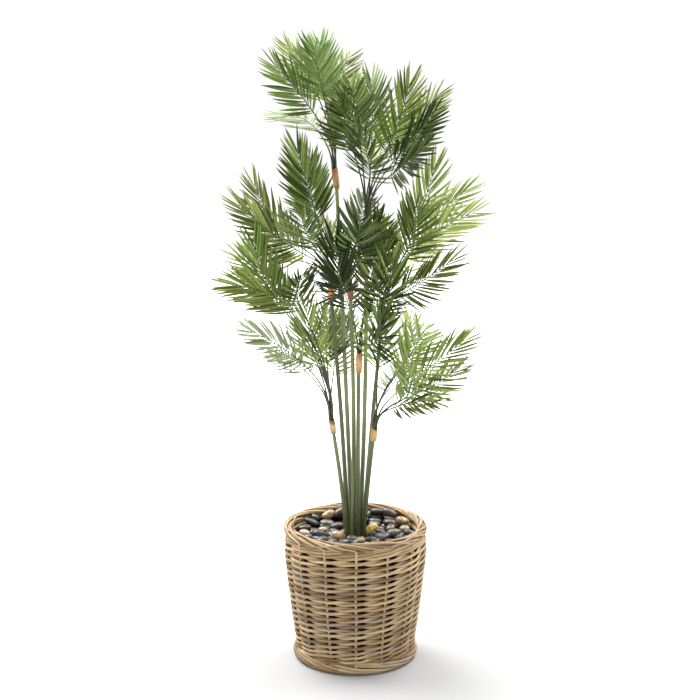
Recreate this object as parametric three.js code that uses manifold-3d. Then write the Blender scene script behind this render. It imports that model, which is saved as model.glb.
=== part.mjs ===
// An artificial parlor palm, 1.5 m tall, in a round woven basket topped with river pebbles.
//
// Eight smooth green rods rise from the middle of the basket and lean apart. Each ends in a
// wrapped tan husk, and out of every husk fans a bundle of thin stalks that carry feathered
// fronds. All sizes are millimetres, +Z is up, and the origin is the centre of the flat
// underside of the basket.

import * as THREE from 'three';
import { mergeVertices } from 'three/addons/utils/BufferGeometryUtils.js';
import Module from 'manifold-3d';

// Sizes of the basket and what fills it

const BASKET_SIDES = 28;
const BASE = 14; // thickness of the base
const WALL_TOP = 306.5;
// Outer radius of the wall at each height: a thicker twisted foot, then a gentle flare.
const WALL_PROFILE = [
  [0, 146], [5, 150], [24, 151], [30, 147], [50, 148], [114, 157], [206, 168], [267, 174], [300, 172],
  [WALL_TOP, 168],
];
// Main relief of the weave: every course stands out at the stakes, which are every other corner,
// with a pit between it and the next, and is drawn in between. Single strands are left to scene.py.
const WEAVE = { first: 52.6, pitch: 14.4, courses: 17, pit: 9, drawnIn: 5, sparse: 3, leastWall: 3.5 };
// Inner radius at each height, from the base up
const LINING_PROFILE = [[BASE, 134], [114, 144], [206, 155], [WALL_TOP, 158]];
const RIM = { radius: 161, thickness: 13, height: 320, lobes: 3, turns: 12, rings: 60 };
const GAP = 0.3; // clearance between touching pieces
const FILLER_TOP = 282; // top of the set filling that holds the rods
const BED_TOP = 287; // top of the layer that the pebbles are bedded in
const PEBBLES = { count: 58, inner: 38, outer: 130, length: 36, width: 28, height: 20 };

// Sizes of the rods and husks

const ROD = { foot: 240, footRadius: 6.3, tipRadius: 4.8, sides: 6, steps: 7 };
const ROOT_RING = 20.5; // the rods enter the pebbles on a circle of this radius
const HUSK = { baseRadius: 5.6, bellyRadius: 7.2, topRadius: 6.4, sides: 7 };

// One row for each rod: its place on the root ring in degrees, the middle of its husk's base
// and top, and how far its middle bows sideways.
const RODS = {
  E: { at: 200, base: [-52, -22, 559], top: [-58, -22, 603], bow: 3 },
  C: { at: 155, base: [-57, 28, 866], top: [-58, 28, 904], bow: 5 },
  A: { at: 110, base: [-44, 58, 1130], top: [-50, 58, 1179], bow: 1 },
  H: { at: 245, base: [-12, -30, 882], top: [-14, -30, 918], bow: 6 },
  D: { at: 290, base: [7, -52, 709], top: [9, -52, 766], bow: -1 },
  B: { at: 65, base: [25, 34, 1017], top: [28, 34, 1071], bow: 6 },
  G: { at: 20, base: [60, 14, 794], top: [65, 14, 835], bow: -3 },
  F: { at: 335, base: [41, -34, 538], top: [46, -34, 577], bow: -2 },
};

// Sizes of the fronds

const STALK = { slotRing: 4.3, baseRadius: 1.75, kneeRadius: 1.5, tipRadius: 0.9 };
const PETIOLE_STEPS = 3;
const TIP_SHARE = 0.74; // the rib ends here, and the last leaflets reach on to the tip
const LEAFLET = { pairs: 6, bud: 5, widthShare: 0.135, thickness: 1.7, belly: 0.38 };
const LEAFLET_LENGTHS = [[0, 0.86], [0.25, 1], [0.6, 0.95], [1, 0.66]]; // share of the longest
const LEAFLET_SPREAD = { foot: 60, tip: 13 }; // degrees from the rib
const LEAFLET_LIFT = [-16, 6]; // degrees out of the face of the blade
const CLEARANCE = 0.4; // least air between a leaflet and anything else
// Degrees by which a stalk may swing aside to pass whatever stands in its way
const NUDGES = [0, 4, -4, 8, -8, 13, -13];
// Ways to free a leaflet, in turn: degrees that it is turned up, and its share of the length
const TRIES = [[0, 1], [10, 1], [-10, 1], [20, 1], [-20, 1], [0, 0.8], [14, 0.8], [-14, 0.8], [28, 0.8],
  [-28, 0.8], [0, 0.6], [16, 0.6], [-16, 0.6], [32, 0.6], [-32, 0.6]];

// Colours as they show in the crown, from the shaded inside to the sunlit outside
const LEAF_COLOURS = {
  deep: 0x33482a, dark: 0x3e5a2e, mid: 0x557238, olive: 0x6f8a3c, bright: 0x3f7a34, lime: 0xa6b84e,
  pale: 0x5f7a5a,
};

// One row for each frond: colour, the node it belongs to (a rod's letter and a number),
// petiole length, heading and rise, blade length, heading and rise, the longest leaflet, and
// how far the upper face of the blade turns to the front. Angles are degrees; a heading of 0
// is +X and 90 is the back.
const FRONDS = [
  ['mid', 'A1', 140, 220, 65, 190, 224, 42, 96, 60],
  ['olive', 'A2', 160, 156, 75, 210, 134, 47, 90, 50],
  ['dark', 'A3', 175, 236, 77, 180, 262, 43, 100, 20],
  ['bright', 'A3', 162, 172, 84, 186, 100, 59, 95, 50],
  ['lime', 'A4', 150, 94, 74, 200, 70, 41, 95, 30],
  ['pale', 'A5', 100, 126, 55, 200, 132, 12, 95, 20],
  ['mid', 'A4', 130, 302, 86, 195, 78, 26, 95, 60],
  ['mid', 'B1', 180, 246, 78, 210, 262, 45, 105, 20],
  ['mid', 'B2', 150, 78, 80, 220, 90, 66, 100, 60],
  ['olive', 'B3', 155, 340, 75, 230, 310, 58, 100, 60],
  ['olive', 'B4', 155, 22, 69, 225, 40, 47, 95, 60],
  ['dark', 'B5', 135, 326, 63, 215, 312, 41, 95, 60],
  ['deep', 'B1', 100, 278, 58, 200, 252, 47, 100, 15],
  ['lime', 'B2', 135, 76, 55, 220, 68, 42, 100, 0],
  ['mid', 'B1', 150, 206, 78, 205, 260, 38, 105, 60],
  ['dark', 'B5', 130, 302, 48, 215, 294, 25, 100, 60],
  ['olive', 'C1', 100, 206, 49, 250, 182, 39, 95, 70],
  ['lime', 'C2', 120, 164, 50, 235, 146, 51, 95, 60],
  ['mid', 'C3', 165, 224, 76, 225, 232, 67, 100, 70],
  ['dark', 'C4', 160, 126, 75, 210, 92, 51, 95, 30],
  ['lime', 'C2', 105, 138, 28, 220, 124, 28, 95, 0],
  ['deep', 'C5', 115, 240, 54, 200, 258, 37, 105, 15],
  ['olive', 'E1', 265, 192, 69, 205, 200, 22, 100, 70],
  ['olive', 'E1', 270, 170, 69, 230, 156, 38, 95, 60],
  ['mid', 'E2', 280, 204, 70, 215, 214, 69, 100, 75],
  ['mid', 'E3', 280, 226, 70, 180, 282, 44, 95, 30],
  ['pale', 'E4', 155, 218, 60, 205, 212, 32, 85, 60],
  ['mid', 'E3', 135, 232, 69, 190, 250, 48, 90, 30],
  ['olive', 'E5', 115, 138, 73, 200, 108, 59, 90, 50],
  ['lime', 'E6', 100, 84, 52, 200, 86, 53, 90, 30],
  ['pale', 'E5', 130, 124, 41, 200, 120, 10, 90, 0],
  ['olive', 'E6', 120, 100, 70, 190, 88, 47, 90, 50],
  ['deep', 'H1', 50, 260, -5, 210, 242, 68, 110, 70],
  ['mid', 'H2', 70, 50, 79, 210, 78, 41, 100, 40],
  ['lime', 'H3', 75, 110, 46, 210, 110, 31, 95, 0],
  ['deep', 'H4', 70, 278, 55, 200, 278, 38, 105, 20],
  ['mid', 'H4', 60, 314, 63, 200, 290, 39, 105, 60],
  ['olive', 'G1', 70, 312, 49, 215, 326, 34, 95, 60],
  ['lime', 'G2', 140, 356, 69, 250, 12, 30, 100, 70],
  ['olive', 'G2', 155, 36, 66, 265, 12, 43, 95, 60],
  ['olive', 'G3', 190, 24, 70, 240, 40, 65, 100, 60],
  ['mid', 'G4', 95, 274, 29, 200, 274, 64, 105, 70],
  ['lime', 'G5', 105, 64, 36, 220, 62, 29, 95, 0],
  ['mid', 'G3', 150, 314, 66, 220, 280, 50, 100, 60],
  ['lime', 'D1', 140, 64, 75, 210, 64, 49, 100, 60],
  ['mid', 'D2', 130, 316, 78, 200, 296, 55, 100, 30],
  ['dark', 'D3', 100, 108, 57, 210, 102, 25, 95, 0],
  ['mid', 'D4', 90, 306, 63, 190, 270, 36, 100, 20],
  ['dark', 'D4', 50, 294, 25, 190, 282, 43, 95, 50],
  ['dark', 'D3', 65, 106, 0, 190, 98, 27, 95, 40],
  ['olive', 'F1', 110, 344, 58, 250, 338, 40, 95, 65],
  ['olive', 'F1', 100, 18, 40, 200, 32, 22, 90, 50],
  ['olive', 'F2', 70, 326, 48, 190, 312, 14, 85, 40],
  ['mid', 'F3', 85, 332, 50, 190, 266, 51, 95, 25],
  ['lime', 'F4', 140, 30, 62, 200, 80, 44, 90, 40],
  ['pale', 'F5', 110, 60, 39, 210, 60, 23, 90, 0],
  ['mid', 'F3', 145, 274, 82, 205, 278, 60, 100, 60],
  ['mid', 'F4', 165, 12, 65, 200, 72, 23, 100, 60],
].map(([tone, node, petiole, heading, rise, blade, bladeHeading, bladeRise, leaflet, turn]) => (
  { tone, node, petiole, heading, rise, blade, bladeHeading, bladeRise, leaflet, turn }));

// Small helpers

const V = (x, y, z) => new THREE.Vector3(x, y, z);
const UP = V(0, 0, 1);
const FRONT = V(0, -1, 0);
const radians = THREE.MathUtils.degToRad;
const lerp = THREE.MathUtils.lerp;

/** Unit vector with the given heading and rise in degrees. */
function direction(heading, rise) {
  const flat = Math.cos(radians(rise));
  return V(flat * Math.cos(radians(heading)), flat * Math.sin(radians(heading)), Math.sin(radians(rise)));
}

/** Repeatable numbers between 0 and 1. */
function seeded(seed) {
  let state = seed >>> 0;
  return () => {
    state = (Math.imul(state, 1664525) + 1013904223) >>> 0;
    return state / 4294967296;
  };
}

/** Value of a line of [position, value] pairs at a position. */
function along(profile, position) {
  const next = profile.findIndex(([at]) => at >= position);
  if (next <= 0) return next === 0 ? profile[0][1] : profile[profile.length - 1][1];
  const [[a, low], [b, high]] = [profile[next - 1], profile[next]];
  return lerp(low, high, (position - a) / (b - a));
}

// Solids

const wasm = await Module();
wasm.setup();

/** Turns a closed three.js geometry into a solid that can be joined and cut. */
function solid(geometry) {
  const bare = geometry.clone();
  bare.deleteAttribute('normal');
  bare.deleteAttribute('uv');
  const merged = mergeVertices(bare, 1e-4);
  const corners = [];
  const index = merged.index.array;
  for (let i = 0; i < index.length; i += 3) {
    const [a, b, c] = [index[i], index[i + 1], index[i + 2]];
    if (a !== b && b !== c && c !== a) corners.push(a, b, c);
  }
  return new wasm.Manifold(new wasm.Mesh({
    numProp: 3,
    vertProperties: new Float32Array(merged.attributes.position.array),
    triVerts: new Uint32Array(corners),
  }));
}

/** Joins solids and keeps the largest body, so that no loose scrap stays. */
function join(solids) {
  const whole = solids.reduce((sum, next) => sum.add(next));
  return whole.decompose().reduce((best, body) => (body.volume() > best.volume() ? body : best));
}

/** Turns a solid back into a named mesh. */
function meshOf(name, body, material) {
  const { vertProperties, triVerts } = body.getMesh();
  const geometry = new THREE.BufferGeometry();
  geometry.setAttribute('position', new THREE.BufferAttribute(vertProperties, 3));
  geometry.setIndex(new THREE.BufferAttribute(triVerts, 1));
  geometry.computeVertexNormals();
  const mesh = new THREE.Mesh(geometry, material);
  mesh.name = name;
  return mesh;
}

/** Closed geometry through rings of points, each ring counterclockwise seen from the far end. */
function ringSolid(rings) {
  const sides = rings[0].length;
  const index = [];
  for (let i = 0; i + 1 < rings.length; i += 1) {
    for (let j = 0; j < sides; j += 1) {
      const [a, b] = [i * sides + j, i * sides + ((j + 1) % sides)];
      index.push(a, b, b + sides, a, b + sides, a + sides);
    }
  }
  const last = (rings.length - 1) * sides;
  for (let j = 1; j + 1 < sides; j += 1) index.push(0, j + 1, j, last, last + j, last + j + 1);
  const geometry = new THREE.BufferGeometry().setFromPoints(rings.flat());
  geometry.setIndex(index);
  return geometry;
}

/** Closed geometry through upright columns of points, zipped to each other in order of height. */
function zippedSolid(columns) {
  const starts = columns.map((_, j) => columns.slice(0, j).flat().length);
  const index = [];
  columns.forEach((left, j) => {
    const next = (j + 1) % columns.length;
    const right = columns[next];
    const middle = (column, i) => (
      i + 1 < column.length ? column[i].z + column[i + 1].z : Infinity); // of the edge above it
    for (let [l, r] = [0, 0]; l + 1 < left.length || r + 1 < right.length;) {
      const goesLeft = middle(left, l) <= middle(right, r);
      index.push(starts[j] + l, starts[next] + r, goesLeft ? starts[j] + l + 1 : starts[next] + r + 1);
      if (goesLeft) l += 1; else r += 1;
    }
  });
  const ends = columns.map((column, j) => starts[j] + column.length - 1);
  for (let j = 1; j + 1 < columns.length; j += 1) {
    index.push(starts[0], starts[j + 1], starts[j], ends[0], ends[j], ends[j + 1]);
  }
  const geometry = new THREE.BufferGeometry().setFromPoints(columns.flat());
  geometry.setIndex(index);
  return geometry;
}

/** Ring of points round a centre, in the plane of two unit vectors. */
function ring(centre, across, upward, radius, sides, phase = 0) {
  return Array.from({ length: sides }, (_, j) => {
    const angle = phase + (2 * Math.PI * j) / sides;
    return centre.clone()
      .addScaledVector(across, radius * Math.cos(angle))
      .addScaledVector(upward, radius * Math.sin(angle));
  });
}

/** A body turned round the Z axis from a profile of [height, radius] pairs. */
function turned(profile, sides) {
  const points = profile.map(([height, radius]) => new THREE.Vector2(radius, height));
  return new THREE.LatheGeometry(points, sides).rotateX(Math.PI / 2);
}

// Clearance: convex pieces and the gap between them

/** A convex piece: its corners, and the directions in which it can be told apart from others. */
class Hull {
  constructor(corners, faces) {
    this.corners = corners;
    this.box = new THREE.Box3().setFromPoints(corners);
    this.normals = [];
    this.edges = [];
    for (const face of faces) {
      const [a, b, c] = face.slice(0, 3).map((i) => corners[i]);
      this.normals.push(b.clone().sub(a).cross(c.clone().sub(a)).normalize());
      for (let i = 0; i < face.length; i += 1) {
        const edge = corners[face[(i + 1) % face.length]].clone().sub(corners[face[i]]).normalize();
        if (!this.edges.some((known) => Math.abs(known.dot(edge)) > 0.9999)) this.edges.push(edge);
      }
    }
  }

  /** True when some direction separates the two pieces by at least the gap. */
  clears(other, gap) {
    if (!this.box.clone().expandByScalar(gap).intersectsBox(other.box)) return true;
    if (this.normals.some((axis) => this.partsFrom(other, axis, gap))) return true;
    if (other.normals.some((axis) => this.partsFrom(other, axis, gap))) return true;
    const axis = V(0, 0, 0);
    return this.edges.some((a) => other.edges.some((b) => (
      axis.crossVectors(a, b).lengthSq() > 1e-6 && this.partsFrom(other, axis.normalize(), gap))));
  }

  /** True when the two pieces lie apart by at least the gap along one direction. */
  partsFrom(other, axis, gap) {
    const [low, high] = this.span(axis);
    const [otherLow, otherHigh] = other.span(axis);
    return otherLow - high >= gap || low - otherHigh >= gap;
  }

  span(axis) {
    let [low, high] = [Infinity, -Infinity];
    for (const corner of this.corners) {
      const reach = corner.dot(axis);
      if (reach < low) low = reach;
      if (reach > high) high = reach;
    }
    return [low, high];
  }
}

/** One convex piece between each two neighbouring rings. */
function ringHulls(rings) {
  const sides = rings[0].length;
  const all = Array.from({ length: sides }, (_, j) => j);
  const faces = [all, all.map((j) => j + sides)];
  for (const j of all) faces.push([j, (j + 1) % sides, ((j + 1) % sides) + sides, j + sides]);
  return rings.slice(1).map((upper, i) => new Hull([...rings[i], ...upper], faces));
}

// Every convex piece so far: { hull, node }, with its frond, and its pair where it is a leaflet
const placed = [];

/** True for pieces that grow out of each other: stalks of one node, or a leaflet and its stalk. */
function grownTogether(a, b) {
  if (a.pair === undefined && b.pair === undefined) return a.node === b.node;
  return a.frond === b.frond && (a.pair === undefined || b.pair === undefined || a.pair === b.pair);
}

const isClear = (piece, gap) => placed.every(
  (other) => grownTogether(piece, other) || piece.hull.clears(other.hull, gap));

// Basket, filling and pebbles

const innerRadius = (height) => along(LINING_PROFILE, height);

/** The wall: a foot, then courses of weave with pits at the stakes between them, round a hollow. */
function basketWall() {
  const { first, pitch, courses, pit, drawnIn, sparse, leastWall } = WEAVE;
  const foot = WALL_PROFILE.filter(([height]) => height < first - pitch / 2);
  const top = WALL_PROFILE.slice(-1);
  const cutIn = (height, depth) => (
    [height, Math.max(along(WALL_PROFILE, height) - depth, innerRadius(height) + leastWall)]);
  const rows = Array.from({ length: courses }, (_, row) => first + row * pitch);
  const atStake = rows.flatMap((height) => [cutIn(height, 0), cutIn(height + pitch / 2, pit)]);
  const between = rows.filter((_, row) => row % sparse === 0)
    .map((height) => cutIn(height + pitch / 2, drawnIn));
  const columns = Array.from({ length: BASKET_SIDES }, (_, j) => (
    [...foot, ...(j % 2 ? between : atStake), ...top].map(([height, radius]) => (
      direction((360 * j) / BASKET_SIDES - 90, 0).multiplyScalar(radius).setZ(height)))));
  const outside = zippedSolid(columns);
  const above = WALL_TOP + 1;
  const hollow = [[BASE, 0], ...LINING_PROFILE, [above, innerRadius(above)], [above, 0]];
  return solid(outside).subtract(solid(turned(hollow, BASKET_SIDES)));
}

/** The rolled border: a three-lobed rope laid round the mouth of the basket. */
function basketRim() {
  const sides = RIM.lobes * 2;
  const index = [];
  const points = [];
  for (let i = 0; i < RIM.rings; i += 1) {
    const angle = (2 * Math.PI * i) / RIM.rings;
    const outward = V(Math.cos(angle), Math.sin(angle), 0);
    for (let j = 0; j < sides; j += 1) {
      const turn = (2 * Math.PI * j) / sides - (RIM.turns * angle) / RIM.lobes;
      const radius = RIM.thickness * (j % 2 ? 0.86 : 1);
      points.push(outward.clone().multiplyScalar(RIM.radius + radius * Math.cos(turn))
        .addScaledVector(UP, RIM.height + radius * Math.sin(turn)));
      const [a, b] = [i * sides + j, i * sides + ((j + 1) % sides)];
      const [c, d] = [a, b].map((k) => (k + sides) % (RIM.rings * sides));
      index.push(a, c, d, a, d, b);
    }
  }
  const geometry = new THREE.BufferGeometry().setFromPoints(points);
  geometry.setIndex(index);
  return solid(geometry);
}

function filling() {
  const heights = [BASE + GAP, 114, 206, FILLER_TOP];
  const side = heights.map((height) => [height, innerRadius(height) - GAP - 0.2]);
  return solid(turned([[heights[0], 0], ...side, [FILLER_TOP, 0]], BASKET_SIDES));
}

/** River pebbles bedded in a thin layer, on rings that grow outwards like seeds in a head. */
function pebbleBed() {
  const low = FILLER_TOP + GAP;
  const bedRadius = innerRadius(low) - GAP - 0.2;
  const bed = turned([[low, 0], [low, bedRadius], [BED_TOP, bedRadius], [BED_TOP, 0]], BASKET_SIDES);
  const random = seeded(7);
  const pebbles = Array.from({ length: PEBBLES.count }, (_, i) => {
    const reach = Math.sqrt(lerp(PEBBLES.inner ** 2, PEBBLES.outer ** 2, (i + 0.5) / PEBBLES.count));
    const angle = i * 2.39996;
    const size = lerp(0.75, 1.05, random());
    const stone = new THREE.IcosahedronGeometry(0.5, 0)
      .scale(PEBBLES.length * size, PEBBLES.width * size, PEBBLES.height * size)
      .rotateX(lerp(-0.3, 0.3, random())).rotateY(lerp(-0.3, 0.3, random())).rotateZ(6.283 * random());
    const height = lerp(BED_TOP + 4, BED_TOP + 11, random());
    return solid(stone.translate(reach * Math.cos(angle), reach * Math.sin(angle), height));
  });
  return join([solid(bed), ...pebbles]);
}

// Rods and husks

/** Centre line of a rod, from its foot in the filling to the base of its husk. */
function rodLine({ at, base, bow }) {
  const foot = V(ROOT_RING * Math.cos(radians(at)), ROOT_RING * Math.sin(radians(at)), FILLER_TOP);
  const end = V(...base);
  const slope = end.clone().sub(foot).divideScalar(end.z - foot.z);
  foot.addScaledVector(slope, ROD.foot - foot.z);
  const middle = foot.clone().lerp(end, 0.5).add(V(2 * bow, 0, 0));
  return new THREE.QuadraticBezierCurve3(foot, middle, end);
}

/** Rings of a rod, made wider by the given amount for the socket that it stands in. */
function rodRings(line, grow = 0, cut = 0) {
  return Array.from({ length: ROD.steps + 1 }, (_, i) => {
    const share = i / ROD.steps;
    const centre = line.getPoint(share);
    if (i === 0) centre.z -= cut;
    const across = V(1, 0, 0);
    const radius = lerp(ROD.footRadius, ROD.tipRadius, share) + grow;
    return ring(centre, across, V(0, 1, 0), radius, ROD.sides);
  });
}

/** Rings of a husk: a wrapped sheath that swells a little and closes round its stalks. */
function huskRings({ base, top }) {
  const [low, high] = [V(...base), V(...top)];
  low.z += GAP;
  const stations = [[0, HUSK.baseRadius], [0.35, HUSK.bellyRadius], [0.8, HUSK.bellyRadius * 0.94],
    [1, HUSK.topRadius]];
  return stations.map(([share, radius]) => ring(
    low.clone().lerp(high, share), V(1, 0, 0), V(0, 1, 0), radius, HUSK.sides));
}

// Fronds

/** One frond: its petiole and arching rib, and the pairs of buds that its leaflets grow from. */
class Frond {
  constructor(sizes, start, nudge) {
    const knee = start.clone().addScaledVector(
      direction(sizes.heading + nudge, sizes.rise - Math.abs(nudge) * 0.3), sizes.petiole);
    const tip = knee.clone().addScaledVector(
      direction(sizes.bladeHeading + nudge, sizes.bladeRise), sizes.blade);
    const lift = start.clone().addScaledVector(UP, sizes.petiole * 0.42);
    const lead = knee.clone().sub(lift).normalize();
    const arch = knee.clone().addScaledVector(lead, sizes.blade * 0.42);
    this.petiole = new THREE.QuadraticBezierCurve3(start, lift, knee);
    this.blade = new THREE.QuadraticBezierCurve3(knee, arch, tip);
    this.sizes = sizes;
    [this.knee, this.middle] = [this.blade.getTangent(0), this.blade.getTangent(0.5)];
    const turn = radians(sizes.turn);
    this.face = UP.clone().multiplyScalar(Math.cos(turn)).addScaledVector(FRONT, Math.sin(turn));
    this.face.addScaledVector(this.middle, -this.face.dot(this.middle)).normalize();
    this.rings = this.stalkRings();
    this.leaflets = [];
  }

  /**
   * The axes at a place: on along the rib, out of its upper face, and across it. The face is
   * carried from the middle of the blade, and on round the knee, without a twist.
   */
  frame(curve, share) {
    const forward = curve.getTangent(share);
    const face = this.face.clone();
    const ways = curve === this.petiole ? [this.middle, this.knee, forward] : [this.middle, forward];
    for (let i = 1; i < ways.length; i += 1) {
      face.applyQuaternion(new THREE.Quaternion().setFromUnitVectors(ways[i - 1], ways[i]));
    }
    return { forward, face, across: face.clone().cross(forward) };
  }

  /** Three-sided rings, flat above and keeled below: the petiole's, then two for each pair. */
  stalkRings() {
    const ringAt = (curve, share, radius) => {
      const { face, across } = this.frame(curve, share);
      return ring(curve.getPoint(share), across, face, radius, 3, Math.PI / 6);
    };
    const rings = [];
    for (let i = 0; i < PETIOLE_STEPS; i += 1) {
      const share = i / PETIOLE_STEPS;
      rings.push(ringAt(this.petiole, share, lerp(STALK.baseRadius, STALK.kneeRadius, share)));
    }
    for (const point of rings[0]) point.z = this.petiole.v0.z;
    for (let pair = 0; pair < LEAFLET.pairs; pair += 1) {
      const share = this.pairShare(pair);
      const radius = lerp(STALK.kneeRadius, STALK.tipRadius, share / TIP_SHARE);
      rings.push(ringAt(this.blade, share, radius));
      rings.push(ringAt(this.blade, share + LEAFLET.bud / this.sizes.blade, radius));
    }
    return rings;
  }

  pairShare(pair) {
    return lerp(0.02, TIP_SHARE, (pair / (LEAFLET.pairs - 1)) ** 1.05);
  }

  /** Convex pieces of the stalk, with each bud taken together with the stretch below it. */
  stalkHulls() {
    const rings = this.rings.filter((_, i) => i < PETIOLE_STEPS || (i - PETIOLE_STEPS) % 2 === 0);
    return ringHulls([...rings, this.rings[this.rings.length - 1]]);
  }

  /** A leaflet on one side of a pair, turned up by some degrees and shortened by a factor. */
  leaflet(pair, side, turn, shorter) {
    const first = PETIOLE_STEPS + 2 * pair;
    // The side of the stalk that the leaflet grows from, counterclockwise seen from outside
    const [low, high] = side > 0 ? [2, 0] : [1, 2];
    const bud = [[first, low], [first, high], [first + 1, high], [first + 1, low]];
    const root = bud.map(([i, j]) => this.rings[i][j]);
    const centre = root.reduce((sum, point) => sum.add(point), V(0, 0, 0)).multiplyScalar(0.25);

    const share = pair / (LEAFLET.pairs - 1);
    const { forward, face, across } = this.frame(this.blade, this.pairShare(pair));
    const spread = radians(lerp(LEAFLET_SPREAD.foot, LEAFLET_SPREAD.tip, share ** 0.8));
    const flat = forward.clone().multiplyScalar(Math.cos(spread))
      .addScaledVector(across, side * Math.sin(spread));
    const way = flat.clone().multiplyScalar(Math.cos(radians(turn)))
      .addScaledVector(face, Math.sin(radians(turn)));
    const upper = face.clone().addScaledVector(way, -face.dot(way)).normalize();
    const edge = forward.clone().addScaledVector(upper, -forward.dot(upper));
    edge.addScaledVector(way, -edge.dot(way)).normalize();

    const whole = this.sizes.leaflet * along(LEAFLET_LENGTHS, share);
    const belly = centre.clone().addScaledVector(way, LEAFLET.belly * whole * shorter);
    const [half, thick] = [(LEAFLET.widthShare * whole) / 2, LEAFLET.thickness / 2];
    const ringPoints = [
      belly.clone().addScaledVector(edge, -half), belly.clone().addScaledVector(upper, side * thick),
      belly.clone().addScaledVector(edge, half), belly.clone().addScaledVector(upper, -side * thick),
    ];
    const tip = centre.clone().addScaledVector(way, whole * shorter);
    const corners = [...root, ...ringPoints, tip];
    const faces = [[0, 3, 2, 1], ...[0, 1, 2, 3].flatMap((i) => {
      const next = (i + 1) % 4;
      return [[i, next, next + 4], [i, next + 4, i + 4], [i + 4, next + 4, 8]];
    })];
    return { pair, side, bud, ringPoints, tip, hull: new Hull(corners, faces) };
  }

  /** Closed geometry of the whole frond, each leaflet grown out of one face of the stalk. */
  geometry() {
    const points = this.rings.flat();
    const index = [];
    const at = ([i, j]) => i * 3 + j;
    const grown = new Map(this.leaflets.map((leaf) => [leaf.bud.join(), leaf]));
    for (let i = 0; i + 1 < this.rings.length; i += 1) {
      for (const [low, high] of [[0, 1], [1, 2], [2, 0]]) {
        const loop = [[i, low], [i, high], [i + 1, high], [i + 1, low]];
        const leaf = grown.get(loop.join());
        const root = loop.map(at);
        if (leaf) {
          const first = points.push(...leaf.ringPoints, leaf.tip) - 5;
          for (let k = 0; k < 4; k += 1) {
            const next = (k + 1) % 4;
            index.push(root[k], root[next], first + k, root[next], first + next, first + k);
            index.push(first + k, first + next, first + 4);
          }
        } else {
          index.push(root[0], root[1], root[2], root[0], root[2], root[3]);
        }
      }
    }
    const last = (this.rings.length - 1) * 3;
    index.push(0, 2, 1, last, last + 1, last + 2);
    const geometry = new THREE.BufferGeometry().setFromPoints(points);
    geometry.setIndex(index);
    return geometry;
  }
}

/** Grows the leaflets of a frond in pairs, each turned or shortened until it hangs free. */
function growLeaflets(frond, node, random) {
  for (let pair = 0; pair < LEAFLET.pairs; pair += 1) {
    for (const side of [1, -1]) {
      const lift = lerp(...LEAFLET_LIFT, random());
      for (const [turn, shorter] of TRIES) {
        const leaf = frond.leaflet(pair, side, lift + turn, shorter);
        const piece = { node, frond, pair, hull: leaf.hull };
        if (isClear(piece, CLEARANCE)) {
          placed.push(piece);
          frond.leaflets.push(leaf);
          break;
        }
      }
    }
  }
}

// Assembly

const palm = new THREE.Group();
const finish = (colour, roughness) => new THREE.MeshStandardMaterial({
  color: colour, roughness, metalness: 0 });
const add = (name, body, colour, roughness) => palm.add(meshOf(name, body, finish(colour, roughness)));

let fill = filling();
let bed = pebbleBed();
const rodSolids = {};
for (const [letter, rod] of Object.entries(RODS)) {
  const line = rodLine(rod);
  const socket = solid(ringSolid(rodRings(line, 0.4, 0.4)));
  fill = fill.subtract(socket);
  bed = bed.subtract(socket);
  rodSolids[letter] = solid(ringSolid(rodRings(line)));
  for (const hull of ringHulls(rodRings(line))) placed.push({ node: `rod_${letter}`, hull });
  for (const hull of ringHulls(huskRings(rod))) placed.push({ node: `husk_${letter}`, hull });
}
add('basket', basketWall(), 0xb79b74, 0.75);
add('basket_rim', basketRim(), 0xc9b291, 0.75);
add('filling', fill, 0x6b5b4a, 0.9);
add('pebbles', join([bed]), 0x5b5450, 0.45);
for (const [letter, rod] of Object.entries(RODS)) {
  add(`rod_${letter}`, rodSolids[letter], 0x6e7c4e, 0.5);
  add(`husk_${letter}`, solid(ringSolid(huskRings(rod))), 0xd9a877, 0.6);
}

/** Every order of a list. */
function* orders(list) {
  if (list.length < 2) yield list;
  for (const first of list) {
    for (const rest of orders(list.filter((item) => item !== first))) yield [first, ...rest];
  }
}

/** A frond from its place on the husk with a free way out, or nothing where all is taken. */
function freeFrond(sizes, start) {
  for (const nudge of NUDGES) {
    const frond = new Frond(sizes, start, nudge);
    const pieces = frond.stalkHulls().map((hull) => ({ node: sizes.node, frond, hull }));
    if (pieces.every((piece) => isClear(piece, 0.8 * GAP))) {
      placed.push(...pieces);
      return frond;
    }
  }
  return null;
}

/**
 * Sets the fronds of one rod on a small ring on top of its husk. They take the places on that
 * ring in the first order in which each stalk finds a free way out.
 */
function settleFronds(letter, nodes) {
  const kept = placed.length;
  for (const order of orders(nodes)) {
    for (const offset of [0, 20, 40]) {
      const fronds = {};
      const settled = order.every((node, i) => {
        const slot = radians(offset + (i * 360) / order.length);
        const start = V(...RODS[letter].top)
          .add(V(STALK.slotRing * Math.cos(slot), STALK.slotRing * Math.sin(slot), GAP));
        fronds[node] = FRONDS.filter((sizes) => sizes.node === node)
          .map((sizes) => freeFrond(sizes, start));
        return fronds[node].every((frond) => frond);
      });
      if (settled) return fronds;
      placed.length = kept;
    }
  }
  throw new Error(`the stalks of rod ${letter} have no free way`);
}

const nodes = [...new Set(FRONDS.map((sizes) => sizes.node))];
const fronds = {};
for (const letter of Object.keys(RODS)) {
  Object.assign(fronds, settleFronds(letter, nodes.filter((node) => node[0] === letter)));
}
const random = seeded(21);
for (const node of nodes) {
  for (const frond of fronds[node]) growLeaflets(frond, node, random);
  const { tone } = FRONDS.find((sizes) => sizes.node === node);
  const body = join(fronds[node].map((frond) => solid(frond.geometry())));
  add(`frond_${node}`, body, LEAF_COLOURS[tone], 0.55);
}

export default palm;
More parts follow.
